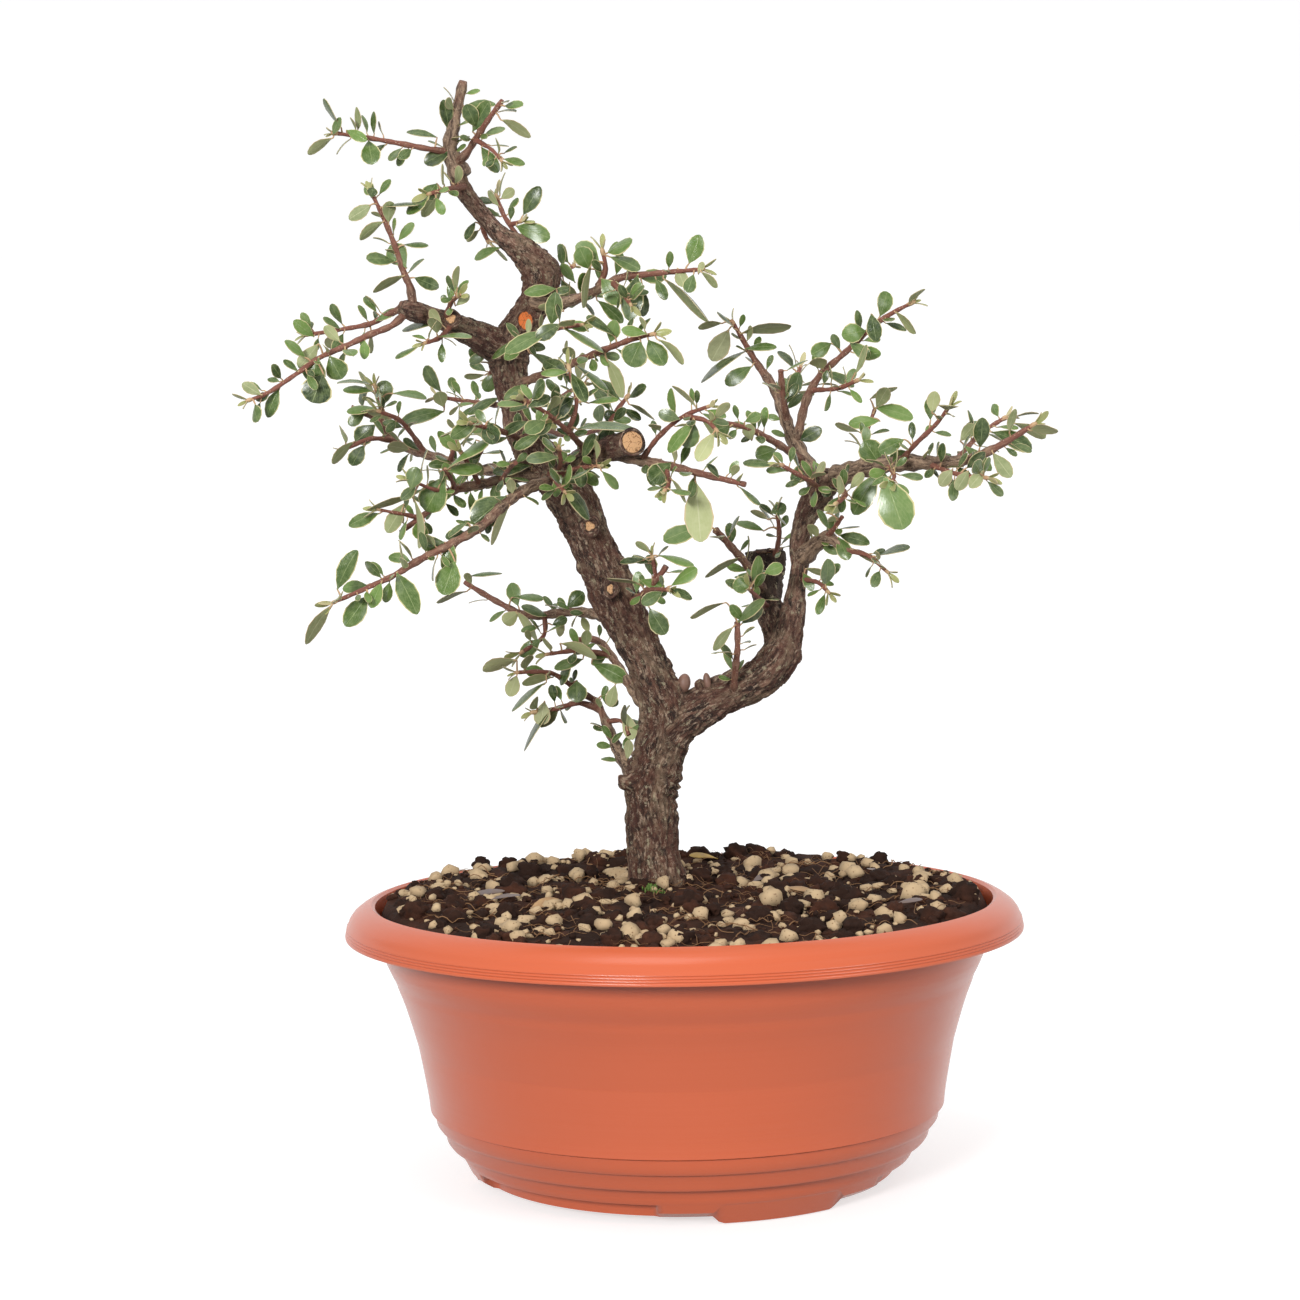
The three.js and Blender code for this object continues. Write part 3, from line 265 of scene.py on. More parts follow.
# Moulded plastic: an even clay red with a satin sheen, slightly streaked round the wall where the melt
# flowed, and a few specks of soil stuck to it.
plastic, tree, shader = new_material("moulded_polypropylene", roughness=0.27, ior=1.49)
place = node(tree, "ShaderNodeTexCoord").outputs["Object"]
streaks = node(tree, "ShaderNodeMapping", {"Vector": place, "Scale": (6, 6, 900)})
flow = node(tree, "ShaderNodeTexNoise", {"Vector": streaks.outputs[0], "Scale": 1.0, "Detail": 3.0})
cloud = node(tree, "ShaderNodeTexNoise", {"Vector": place, "Scale": 14.0, "Detail": 2.0})
tint = node(tree, "ShaderNodeMix", {
    0: cloud.outputs["Fac"], 6: colour("#B9532F"), 7: colour("#C35B36"),
}, data_type="RGBA")
streaked = node(tree, "ShaderNodeMix", {
    0: flow.outputs["Fac"], 6: tint.outputs[2], 7: colour("#BF5A37"),
}, data_type="RGBA")
speck_place = node(tree, "ShaderNodeTexVoronoi", {"Vector": place, "Scale": 75.0})
speck_size = node(tree, "ShaderNodeTexNoise", {"Vector": place, "Scale": 30.0})
speck_reach = node(tree, "ShaderNodeMapRange", {
    "Value": speck_size.outputs["Fac"], "From Min": 0.62, "From Max": 0.72, "To Max": 0.06,
})
speck = node(tree, "ShaderNodeMath", {
    0: speck_place.outputs["Distance"], 1: speck_reach.outputs[0],
}, operation="LESS_THAN")
specked = node(tree, "ShaderNodeMix", {
    0: speck.outputs[0], 6: streaked.outputs[2], 7: colour("#6E3626"),
}, data_type="RGBA")
tree.links.new(specked.outputs[2], shader.inputs["Base Color"])
skin = node(tree, "ShaderNodeTexNoise", {"Vector": place, "Scale": 900.0, "Detail": 2.0})
relief = node(tree, "ShaderNodeBump", {
    "Height": skin.outputs["Fac"], "Strength": 0.12, "Distance": 0.0002,
})
mould_lines = node(tree, "ShaderNodeBump", {
    "Height": flow.outputs["Fac"], "Normal": relief.outputs[0], "Strength": 0.2, "Distance": 0.0002,
})
tree.links.new(mould_lines.outputs[0], shader.inputs["Normal"])
bowl_piece = finished(bowl, "bowl", [plastic], ["pot"])

# The drain holes are drilled through the floor; the drill is taken away once the bowl's mesh is cut
DRAIN_COUNT = 4
DRAIN_RADIUS = 4.5
DRAIN_CIRCLE = 52
DRILL_LENGTH = 24
DRILL_MIDDLE = 6
DRILL_SIDES = 32
drill = bmesh.new()
for k in range(DRAIN_COUNT):
    angle = 2 * math.pi * (k + 0.5) / DRAIN_COUNT
    middle = Vector((DRAIN_CIRCLE * math.cos(angle), DRAIN_CIRCLE * math.sin(angle), DRILL_MIDDLE))
    bmesh.ops.create_cone(
        drill, cap_ends=True, segments=DRILL_SIDES, radius1=DRAIN_RADIUS * MM, radius2=DRAIN_RADIUS * MM,
        depth=DRILL_LENGTH * MM, matrix=Matrix.Translation(AXIS + middle * MM),
    )
drill_piece = linked("drill", as_mesh(drill, "drill"))
drain = bowl_piece.modifiers.new("drain_holes", "BOOLEAN")
drain.object = drill_piece
drain.solver = "EXACT"
bpy.context.view_layer.update()
drilled = bowl_piece.evaluated_get(bpy.context.evaluated_depsgraph_get())
drilled_mesh = bpy.data.meshes.new_from_object(drilled)
bowl_piece.modifiers.clear()
bowl_piece.data = drilled_mesh
bpy.data.objects.remove(drill_piece)


# Soil: a loose potting mix of dark fibrous peat and tan pumice, filled nearly to the rim and mounded a
# little round the trunk. The bed is one closed body; grains, clods, crumbs and root fibres lie on it, the
# larger ones partly sunk.
SOIL_LEVEL = 118.6
SOIL_MOUND = 5.5
SOIL_RADIUS = 134
SOIL_EDGE = (133.9, 117.6)
SOIL_UNDERSIDE = [
    (0, 6.6), (88.7, 6.6), (89.7, 12.1), (98.3, 14.5), (124.9, 90), (131.4, 108), (133.4, 115),
]
SOIL_STEPS = 210
SOIL_RING = 3
RIM_BANK = 5.5
BANK_RISE = (0.55 * SOIL_RADIUS, 0.92 * SOIL_RADIUS)
BANK_FROM_FRONT = (-120, -20)
FLAT_EDGE = (0.975 * SOIL_RADIUS, SOIL_RADIUS)
CAD_SEED = 20611
CAD_GRAINS = 30
CAD_GRAIN_SIZE = (5, 11)
DRAWS_FOR_A_GRAIN = 16

seed = CAD_SEED


def draw(low, high):
    """The next of a fixed run of draws, the same that places the solids' grains and leaves."""
    global seed
    seed = (seed * 16807) % 2147483647
    return low + (high - low) * (seed / 2147483647)


def soil_height(x, y):
    """The soil's level in millimetres: a low mound with broad waves, as the solid has."""
    far = math.hypot(x, y) / 137
    clods = math.sin(0.21 * x + 1.1) * math.cos(0.17 * y) + 0.8 * math.sin(0.09 * x - 0.13 * y)
    return SOIL_LEVEL + SOIL_MOUND * (1 - far * far) + 1.3 * clods * (1 - far * far * far)


def ground_at(x, y):
    """The bed's surface in millimetres, with its small heaps and hollows."""
    rough = noise.fractal(Vector((x, y, 0)) * 0.12, 0.8, 2.1, 4) * 1.5
    crumbs = abs(noise.noise(Vector((x, y, 7)) * 0.45)) * 1.6
    far = math.hypot(x, y)
    edge = 1 - smooth_steps(far, *FLAT_EDGE)
    banked = RIM_BANK * smooth_steps(far, *BANK_RISE) * edge
    banked *= smooth_steps(y, *BANK_FROM_FRONT)
    return soil_height(x, y) + (rough + crumbs) * (0.25 + 0.75 * edge) + banked - 0.8


def add_copy(whole, template, matrix):
    """Adds a placed copy of a small mesh to a larger bmesh."""
    copy = template.copy()
    copy.transform(matrix)
    whole.from_mesh(copy)
    bpy.data.meshes.remove(copy)


def lump(subdivisions, rough, coarse, offset):
    """A rounded irregular lump about 1 across: a ball pushed in and out by noise."""
    ball = bmesh.new()
    bmesh.ops.create_icosphere(ball, subdivisions=subdivisions, radius=0.5)
    for vert in ball.verts:
        way = vert.co.normalized()
        push = 1 + rough * noise.noise(way * coarse + Vector((offset, 3, 5)))
        push += 0.5 * rough * noise.noise(way * coarse * 2.7 + Vector((7, offset, 1)))
        vert.co = way * 0.5 * push
    for face in ball.faces:
        face.smooth = True
    return as_mesh(ball, "lump")


def pebble(corners):
    """A worn angular stone about 1 across: the hull of points scattered over a ball."""
    stone_form = bmesh.new()
    for _ in range(corners):
        way = Vector((chance.gauss(0, 1), chance.gauss(0, 1), chance.gauss(0, 1))).normalized()
        stone_form.verts.new(way * chance.uniform(0.44, 0.56))
    hull = bmesh.ops.convex_hull(stone_form, input=stone_form.verts)
    bmesh.ops.delete(stone_form, geom=hull["geom_interior"], context="VERTS")
    for face in stone_form.faces:
        face.smooth = True
    return as_mesh(stone_form, "pebble")


def scattered(margin, inner):
    """A random place on the soil in millimetres, off its edge by margin and off its middle."""
    radius = (SOIL_RADIUS - margin) * math.sqrt(chance.uniform(inner, 1))
    angle = chance.uniform(0, 2 * math.pi)
    return radius * math.cos(angle), radius * math.sin(angle)


def lying(x, y, sunk, size, flat, turn, tilt, narrow=0.8):
    """The place of a piece on the soil: its size in millimetres, its proportions, and how it lies."""
    height = ground_at(x, y) + size * (0.5 * flat - sunk)
    return (
        Matrix.Translation(AXIS + Vector((x, y, height)) * MM)
        @ Matrix.Rotation(turn, 4, "Z")
        @ Matrix.Rotation(tilt, 4, "X")
        @ Matrix.Diagonal((size * MM, size * MM * narrow, size * MM * flat, 1))
    )


rings = round(SOIL_EDGE[0] / SOIL_RING)
top = [(SOIL_EDGE[0] * (1 - k / rings), SOIL_EDGE[1]) for k in range(rings + 1)]
bed = spun(SOIL_UNDERSIDE + top, SOIL_STEPS)
for vert in bed.verts:
    if vert.co.z > (SOIL_EDGE[1] - 0.1) * MM:
        x, y = (vert.co - AXIS).xy / MM
        vert.co.z = ground_at(x, y) * MM
for face in bed.faces:
    face.smooth = True

# Peat: nearly black where it is moist, brown where it has dried, with a matted, crumbly surface
peat, tree, shader = new_material("fibrous_peat", roughness=0.92, ior=1.4)
shader.inputs["Specular IOR Level"].default_value = 0.25
place = node(tree, "ShaderNodeTexCoord").outputs["Object"]
matted = node(tree, "ShaderNodeTexNoise", {
    "Vector": place, "Scale": 260.0, "Detail": 5.0, "Roughness": 0.7,
})
patches = node(tree, "ShaderNodeTexNoise", {"Vector": place, "Scale": 55.0, "Detail": 3.0})
brown = node(tree, "ShaderNodeMix", {
    0: matted.outputs["Fac"], 6: colour("#160D0A"), 7: colour("#573323"),
}, data_type="RGBA")
dried = node(tree, "ShaderNodeMapRange", {
    "Value": patches.outputs["Fac"], "From Min": 0.45, "From Max": 0.62,
})
peat_colour = node(tree, "ShaderNodeMix", {
    0: dried.outputs[0], 6: colour("#2A1A13"), 7: brown.outputs[2],
}, data_type="RGBA")
tree.links.new(peat_colour.outputs[2], shader.inputs["Base Color"])
crumbly = node(tree, "ShaderNodeBump", {
    "Height": matted.outputs["Fac"], "Strength": 0.9, "Distance": 0.0015,
})
tree.links.new(crumbly.outputs[0], shader.inputs["Normal"])
finished(bed, "soil_bed", [peat], ["soil"])

# Pumice: light volcanic grains, tan and dusty, pierced by small pores painted darker as the shade inside
# them
pumice, tree, shader = new_material("pumice", roughness=0.85, ior=1.45)
place = node(tree, "ShaderNodeTexCoord").outputs["Object"]
tones = node(tree, "ShaderNodeTexNoise", {
    "Vector": place, "Scale": 75.0, "Detail": 3.0, "Roughness": 0.7,
})
dust = node(tree, "ShaderNodeTexNoise", {"Vector": place, "Scale": 700.0, "Detail": 3.0})
stone = node(tree, "ShaderNodeMix", {
    0: tones.outputs["Fac"], 6: colour("#735639"), 7: colour("#D2BA94"),
}, data_type="RGBA")
dusty = node(tree, "ShaderNodeMix", {
    0: dust.outputs["Fac"], 6: stone.outputs[2], 7: colour("#B39A78"),
}, data_type="RGBA")
pores = node(tree, "ShaderNodeTexVoronoi", {"Vector": place, "Scale": 620.0})
open_pores = node(tree, "ShaderNodeMapRange", {
    "Value": pores.outputs["Distance"], "From Min": 0.1, "From Max": 0.22,
})
# Painted shade: the pores, sunk only by the bump, are painted a darker brown
pores_with_painted_shade = node(tree, "ShaderNodeMix", {
    0: open_pores.outputs[0], 6: colour("#7D5E3E"), 7: dusty.outputs[2],
}, data_type="RGBA")
tree.links.new(pores_with_painted_shade.outputs[2], shader.inputs["Base Color"])
pitted = node(tree, "ShaderNodeBump", {
    "Height": open_pores.outputs[0], "Strength": 0.6, "Distance": 0.0005,
})
tree.links.new(pitted.outputs[0], shader.inputs["Normal"])

PUMICE_FORMS = 12
PEBBLE_CORNERS = 26
PUMICE_COUNT = 430
GRAIN_CIRCLE = 126
GRAIN_SUNK = 0.22
GRAIN_SWELL = 1.15
SOIL_CHANCE_SEED = 31
chance = random.Random(SOIL_CHANCE_SEED)
forms = [pebble(PEBBLE_CORNERS) for _ in range(PUMICE_FORMS)]
grains = bmesh.new()

# The solids' own grains come first, each a little larger. The solids shape each grain with more draws,
# which are passed over here.
for k in range(CAD_GRAINS):
    radius = GRAIN_CIRCLE * math.sqrt(draw(0.03, 1))
    angle = draw(0, 2 * math.pi)
    size = draw(*CAD_GRAIN_SIZE)
    turn = draw(0, math.pi)
    flat = 2 * draw(0.3, 0.42)
    for _ in range(DRAWS_FOR_A_GRAIN):
        draw(0, 1)
    x, y = radius * math.cos(angle), radius * math.sin(angle)
    add_copy(grains, forms[k % PUMICE_FORMS], lying(
        x, y, GRAIN_SUNK, GRAIN_SWELL * size, flat, turn, 0.2,
    ))
for k in range(PUMICE_COUNT):
    x, y = scattered(4, 0.015)
    size = 2.2 + 8 * chance.random() ** 1.7
    add_copy(grains, forms[k % PUMICE_FORMS], lying(
        x, y, 0.15, size, chance.uniform(0.5, 0.8), chance.uniform(0, 6.3), chance.uniform(-0.5, 0.5),
        chance.uniform(0.55, 0.95),
    ))
finished(grains, "pumice_grains", [pumice])

# Peat clods and crumbs, torn loose when the mix was poured in. The first four big clods stand where the
# photo shows them; the fifth is made up.
CLOD_FORMS = 6
CLOD_COUNT = 320
CRUMB_COUNT = 1300
BIG_CLODS = [(-18, -94, 13), (-97, -60, 12), (32, -73, 12), (26, 112, 14), (70, -88, 11)]
clod_forms = [lump(3, 0.5, 2.1, 5.7 * k) for k in range(CLOD_FORMS)]
crumb_forms = [lump(1, 0.8, 2.0, 3.1 * k) for k in range(CLOD_FORMS)]
clods = bmesh.new()
for k in range(CLOD_COUNT + CRUMB_COUNT):
    is_clod = k < CLOD_COUNT
    x, y = scattered(5, 0.02)
    size = 4 + 10 * chance.random() ** 1.8 if is_clod else chance.uniform(1.2, 4)
    form = (clod_forms if is_clod else crumb_forms)[k % CLOD_FORMS]
    add_copy(clods, form, lying(
        x, y, 0.3, size, chance.uniform(0.5, 0.85), chance.uniform(0, 6.3), chance.uniform(-0.4, 0.4),
    ))
for x, y, size in BIG_CLODS:
    add_copy(clods, clod_forms[round(size) % CLOD_FORMS], lying(x, y, 0.25, size, 0.7, size, 0.2))
finished(clods, "peat_clods", [peat])


def stem_frames(route):
    """The matrix at each point of a route, with Z along it and no twist between them."""
    frames = []
    across = None
    for k, point in enumerate(route):
        along = (route[min(k + 1, len(route) - 1)].xyz - route[max(k - 1, 0)].xyz).normalized()
        if across is None:
            across = Vector((0, 1, 0)) if abs(along.y) < 0.9 else Vector((1, 0, 0))
        across = (across - along * across.dot(along)).normalized()
        side = along.cross(across)
        frame_here = Matrix((across, side, along)).transposed().to_4x4()
        frame_here.translation = AXIS + point.xyz * MM
        frames.append(frame_here)
    return frames


THICK_TONE = 4


def round_stem(route, sides):
    """A closed round stem along a route of [x, y, z, radius], ring by ring."""
    stem = bmesh.new()
    grain = stem.verts.layers.float_vector.new("grain")
    tone = stem.verts.layers.float_color.new("tone")
    frames = stem_frames(route)
    ring = bmesh.ops.create_circle(stem, cap_ends=True, segments=sides, radius=1, matrix=frames[0])["verts"]
    edges = list({edge for vert in ring for edge in vert.link_edges})
    gone = 0
    for k, point in enumerate(route):
        if k > 0:
            gone += (point.xyz - route[k - 1].xyz).length
            new = bmesh.ops.extrude_edge_only(stem, edges=edges)["geom"]
            ring = [part for part in new if isinstance(part, bmesh.types.BMVert)]
            edges = [part for part in new if isinstance(part, bmesh.types.BMEdge)]
            edges = [edge for edge in edges if all(vert in ring for vert in edge.verts)]
        for vert in ring:
            if k == 0:
                vert[grain] = frames[0].inverted() @ vert.co
            way = Vector(vert[grain]).xy.normalized()
            vert.co = frames[k] @ Vector((way.x * point.w * MM, way.y * point.w * MM, 0))
            vert[grain] = (way.x * point.w, way.y * point.w, gone)
            vert[tone] = (0.5, min(point.w / THICK_TONE, 1), 0, 1)
    bmesh.ops.contextual_create(stem, geom=edges)
    bmesh.ops.recalc_face_normals(stem, faces=stem.faces)
    for face in stem.faces:
        face.smooth = len(face.verts) == 4
    return stem


def add_part(whole, part):
    """Moves a small bmesh into a larger one."""
    holder = as_mesh(part, "part")
    whole.from_mesh(holder)
    bpy.data.meshes.remove(holder)


def mottled_material(name, roughness, scale, detail, first, second):
    """A plain material whose colour wanders between two tones."""
    material, tree, shader = new_material(name, roughness)
    place = node(tree, "ShaderNodeTexCoord").outputs["Object"]
    tones = node(tree, "ShaderNodeTexNoise", {"Vector": place, "Scale": scale, "Detail": detail})
    mixed = node(tree, "ShaderNodeMix", {
        0: tones.outputs["Fac"], 6: colour(first), 7: colour(second),
    }, data_type="RGBA")
    tree.links.new(mixed.outputs[2], shader.inputs["Base Color"])
    return material


# Root fibres: dry, pale brown hair roots from the old root ball, lying every way on the mix
FIBRE_COUNT = 420
FIBRE_PARTS = 7
FIBRE_PACE = 2.6
fibre_wood = mottled_material("dry_root", 0.8, 40.0, 3.0, "#3F2418", "#A67C52")
fibres = bmesh.new()
for k in range(FIBRE_COUNT):
    x, y = scattered(12, 0.02)
    heading = chance.uniform(0, 2 * math.pi)
    bend = chance.uniform(-0.35, 0.35)
    thick = 0.1 + 0.2 * chance.random() ** 2
    points = []
    for j in range(FIBRE_PARTS):
        lift = 1.2 + 1.5 * math.sin(0.9 * j + heading) ** 2
        points.append((x, y, ground_at(x, y) + lift, thick * (1 - 0.09 * j)))
        x += FIBRE_PACE * math.cos(heading)
        y += FIBRE_PACE * math.sin(heading)
        heading += bend + chance.uniform(-0.3, 0.3)
        if math.hypot(x, y) > SOIL_RADIUS - 4:
            break
    if len(points) > 3:
        add_part(fibres, round_stem(smooth_route(points, 1.4), 4))
finished(fibres, "root_fibres", [fibre_wood])


# Old wood: trunk, two limbs, a dark sawn stub behind and a cut stub in front, all grown in one piece.
# The bark is thin and brown, split lengthwise into narrow plates, with scars and knots where twigs were.
# Each limb is a route of [x, y, z, radius] in millimetres from the bowl's axis, from the root up.
LIMBS = {
    "trunk": [
        (-11, 36, 104, 16), (-11, 36, 120, 14.2), (-14, 36, 139, 11.9), (-14, 36, 161, 11.6),
        (-14, 36, 168, 12.5), (-10, 36, 183, 11.6), (-6, 33, 200, 11.8), (-11, 31, 216, 9.8),
        (-18, 30, 232, 9.3), (-25, 29, 247, 10.2), (-28, 27, 255, 10.6), (-34, 26, 269, 9.7),
        (-41, 25, 286, 9.7), (-49, 22, 303, 10.1), (-60, 19, 317, 8.9), (-66, 19, 324, 8),
        (-70, 18, 332, 6.7), (-71, 17, 340, 5.8), (-73, 17, 353, 7.8), (-74, 17, 364, 9.1),
        (-69, 16, 375, 7.6), (-62, 15, 386, 7.1), (-58, 13, 396, 8), (-59, 13, 401, 8.4),
        (-62, 12, 406, 7.3), (-69, 11, 412, 5.5), (-76, 11, 417, 4), (-86, 9, 429, 3.5),
        (-92, 8, 437, 4), (-94, 7, 443, 4.2),
    ],
    "left_limb": [
        (-72, 17, 366, 6.7), (-81, 14, 369, 7.6), (-87, 10, 373, 6.4), (-93, 6, 376, 5.7),
        (-100, 0, 379, 4.4), (-107, -6, 381, 4.2), (-113, -12, 383, 4.6), (-118, -16, 384, 3.5),
    ],
    "right_limb": [
        (-3, 33, 196, 10.5), (4, 33, 201, 9.5), (13, 33, 206, 8.9), (23, 33, 211, 8.6),
        (32, 33, 215, 8.6), (41, 31, 221, 8.8), (46, 30, 228, 8.6), (49, 30, 234, 6.8),
        (51, 27, 243, 5.9), (52, 27, 249, 5.4), (53, 25, 257, 4.3), (54, 22, 264, 4),
        (55, 21, 272, 4.5), (55, 19, 280, 4.3), (57, 17, 288, 4.7), (60, 14, 295, 5.8),
        (64, 11, 301, 6), (69, 6, 309, 4.9),
    ],
    "dark_stub": [
        (47, 34, 230, 7.7), (44, 38, 241, 7.1), (41, 44, 251, 6.4), (41, 46, 258, 6.9),
        (40, 49, 266, 8.5), (40, 49, 274, 9.4),
    ],
    "cut_stub": [
        (-54, 19, 311, 5.4), (-35, -13, 319, 5.2), (-26, -27, 322, 5.4), (-18, -40, 324, 5.5),
    ],
}
KNOTS = [
    (-25, 28, 171, 4), (-30, 17, 259, 4.8), (-39, 16, 287, 4.8), (-43, 24, 269, 3), (-71, 13, 327, 3),
    (-66, 12, 378, 3.6), (-97, -2, 378, 3.6), (-1, 29, 214, 3.4), (9, 29, 215, 2.4), (-62, 11, 400, 5),
    (51, 30, 227, 5),
]
WOOD_SIDES = 18
WOOD_STEP = 3
WOOD_VOXEL = 0.9
WOOD_SMOOTHING = 5
FULL_BARK = 9
THIN_BARK = 2.5
DEAD_STUB = Vector((40.6, 49, 268))
STAIN = 0.8
STAIN_REACH = (14, 30)
COLLAR_LOW = (152, 158)
COLLAR_HIGH = (170, 177)
COLLAR_FOLD = 0.7
FOLD_PITCH = 4.6

limb_routes = {name: smooth_route(path, WOOD_STEP) for name, path in LIMBS.items()}
wood = bmesh.new()
for route in limb_routes.values():
    add_part(wood, round_stem(route, WOOD_SIDES))
for x, y, z, radius in KNOTS:
    middle = Matrix.Translation(AXIS + Vector((x, y, z)) * MM)
    bmesh.ops.create_icosphere(wood, subdivisions=2, radius=radius * MM, matrix=middle)

# The limbs are melted into one skin, so that crotches are filled and knots swell out of the bark
rough_wood = as_mesh(wood, "rough_wood")
melting = linked("melting", rough_wood)
remesh = melting.modifiers.new("one_skin", "REMESH")
remesh.mode = "VOXEL"
remesh.voxel_size = WOOD_VOXEL * MM
skin = bpy.data.meshes.new_from_object(melting.evaluated_get(bpy.context.evaluated_depsgraph_get()))
bpy.data.objects.remove(melting)
wood = bmesh.new()
wood.from_mesh(skin)
bpy.data.meshes.remove(skin)
bpy.data.meshes.remove(rough_wood)
for _ in range(WOOD_SMOOTHING):
    bmesh.ops.smooth_vert(
        wood, verts=wood.verts, factor=0.5, use_axis_x=True, use_axis_y=True, use_axis_z=True,
    )

# Where each spot of the skin lies along and around its limb, so that the bark splits lengthwise
stations = []
for route in limb_routes.values():
    gone = 0
    for k, (point, frame_here) in enumerate(zip(route, stem_frames(route))):
        gone += (point.xyz - route[k - 1].xyz).length if k else 0
        stations.append((frame_here, frame_here.inverted(), gone, point.w))
finder = kdtree.KDTree(len(stations))
for k, station in enumerate(stations):
    finder.insert(station[0].translation, k)
finder.balance()


def collar_folds(spot):
    """How far the folds of the collar low on the trunk stand out, in millimetres."""
    height = spot.z + 0.55 * spot.x
    inside = smooth_steps(height, *COLLAR_LOW) * (1 - smooth_steps(height, *COLLAR_HIGH))
    waved = height + 2.2 * noise.noise(spot * 0.12)
    return COLLAR_FOLD * inside * math.sin(2 * math.pi * waved / FOLD_PITCH)


def bark_push(around, gone, radius):
    """How far the bark stands out, in millimetres: plates and splits along the limb, and broad lumps."""
    plates = noise.noise(Vector((around.x * 0.42, around.y * 0.42, gone * 0.09)))
    fine = noise.noise(Vector((around.x * 0.9, around.y * 0.9, gone * 0.22 + 40)))
    lumps = noise.noise(Vector((around.x * 0.13, around.y * 0.13, gone * 0.06 + 9)))
    splits = max(0, 1 - 5 * abs(plates)) + 0.6 * max(0, 1 - 5 * abs(fine))
    return min(radius / FULL_BARK, 1) * (0.3 + 0.9 * abs(plates) + 1.3 * lumps + 0.5 * fine - 0.8 * splits)


grain = wood.verts.layers.float_vector.new("grain")
tone = wood.verts.layers.float_color.new("tone")
wood.normal_update()
for vert in wood.verts:
    here, inverse, gone, radius = stations[finder.find(vert.co)[1]]
    local = inverse @ vert.co
    around = local.xy.normalized() * radius
    along = gone + local.z / MM
    push = bark_push(around, along, radius) + collar_folds((vert.co - AXIS) / MM)
    vert.co += vert.normal * push * MM
    vert[grain] = (around.x, around.y, along)
    stain = STAIN * (1 - smooth_steps(((vert.co - AXIS) / MM - DEAD_STUB).length, *STAIN_REACH))
    vert[tone] = (min(max((radius - THIN_BARK) / FULL_BARK, 0), 1), 1, stain, 1)
for face in wood.faces:
    face.smooth = True

# Bark: dry brown cork in narrow plates, with pale fibres, redder and bleached patches and small buff crusts
# of lichen; the splits along and across it are painted nearly black as shade. Thinner wood is paler. The
# dead stub is stained dark.
bark, tree, shader = new_material("cotoneaster_bark", roughness=0.82, ior=1.45)
place = node(tree, "ShaderNodeTexCoord").outputs["Object"]
look = node(tree, "ShaderNodeAttribute", attribute_name="tone")
thickness = node(tree, "ShaderNodeSeparateColor", {"Color": look.outputs["Color"]})
lengthwise = node(tree, "ShaderNodeAttribute", attribute_name="grain")
stretched = node(tree, "ShaderNodeMapping", {"Vector": lengthwise.outputs["Vector"], "Scale": (1, 1, 0.34)})
plates = node(tree, "ShaderNodeTexNoise", {
    "Vector": stretched.outputs[0], "Scale": 0.38, "Detail": 7.0, "Roughness": 0.74, "Distortion": 0.8,
})
fibres_along = node(tree, "ShaderNodeTexNoise", {
    "Vector": stretched.outputs[0], "Scale": 0.8, "Detail": 6.0, "Roughness": 0.78,
})
flakes = node(tree, "ShaderNodeTexNoise", {
    "Vector": place, "Scale": 330.0, "Detail": 5.0, "Roughness": 0.75,
})
patches = node(tree, "ShaderNodeTexNoise", {
    "Vector": place, "Scale": 65.0, "Detail": 5.0, "Roughness": 0.65,
})
# Painted shade: the splits between the plates, the low parts of the plates' relief, are painted nearly
# black
split_shade = node(tree, "ShaderNodeMapRange", {
    "Value": plates.outputs["Fac"], "From Min": 0.43, "From Max": 0.55,
})
cork = node(tree, "ShaderNodeMix", {
    0: thickness.outputs[0], 6: colour("#9A7563"), 7: colour("#694636"),
}, data_type="RGBA")
cork_with_split_shade = node(tree, "ShaderNodeMix", {
    0: split_shade.outputs[0], 6: colour("#261811"), 7: cork.outputs[2],
}, data_type="RGBA")
pale_fibres = node(tree, "ShaderNodeMapRange", {
    "Value": fibres_along.outputs["Fac"], "From Min": 0.53, "From Max": 0.59, "To Max": 0.9,
})
dark_streaks = node(tree, "ShaderNodeMapRange", {
    "Value": fibres_along.outputs["Fac"], "From Min": 0.47, "From Max": 0.38, "To Max": 0.9,
})
redder = node(tree, "ShaderNodeMapRange", {
    "Value": patches.outputs["Fac"], "From Min": 0.46, "From Max": 0.6, "To Max": 0.6,
})
bleached_noise = node(tree, "ShaderNodeTexNoise", {
    "Vector": stretched.outputs[0], "Scale": 0.14, "Detail": 6.0, "Roughness": 0.75, "Distortion": 0.6,
})
bleaching = node(tree, "ShaderNodeMapRange", {
    "Value": bleached_noise.outputs["Fac"], "From Min": 0.5, "From Max": 0.6, "To Max": 0.5,
})
squat = node(tree, "ShaderNodeMapping", {"Vector": lengthwise.outputs["Vector"], "Scale": (0.5, 0.5, 1.3)})
cross_noise = node(tree, "ShaderNodeTexNoise", {
    "Vector": squat.outputs[0], "Scale": 0.7, "Detail": 5.0, "Roughness": 0.7,
})
# Painted shade: the splits across the bark have no relief and are painted as nearly black lines
cross_split_shade = node(tree, "ShaderNodeMapRange", {
    "Value": cross_noise.outputs["Fac"], "From Min": 0.43, "From Max": 0.37, "To Max": 0.75,
})
crusts = node(tree, "ShaderNodeTexNoise", {
    "Vector": stretched.outputs[0], "Scale": 0.32, "Detail": 6.0, "Roughness": 0.7, "Distortion": 1.2,
})
lichen_spots = node(tree, "ShaderNodeMath", {
    0: crusts.outputs["Fac"], 1: flakes.outputs["Fac"],
}, operation="MULTIPLY")
lichen = node(tree, "ShaderNodeMapRange", {
    "Value": lichen_spots.outputs[0], "From Min": 0.315, "From Max": 0.35, "To Max": 0.75,
})
surface = cork_with_split_shade.outputs[2]
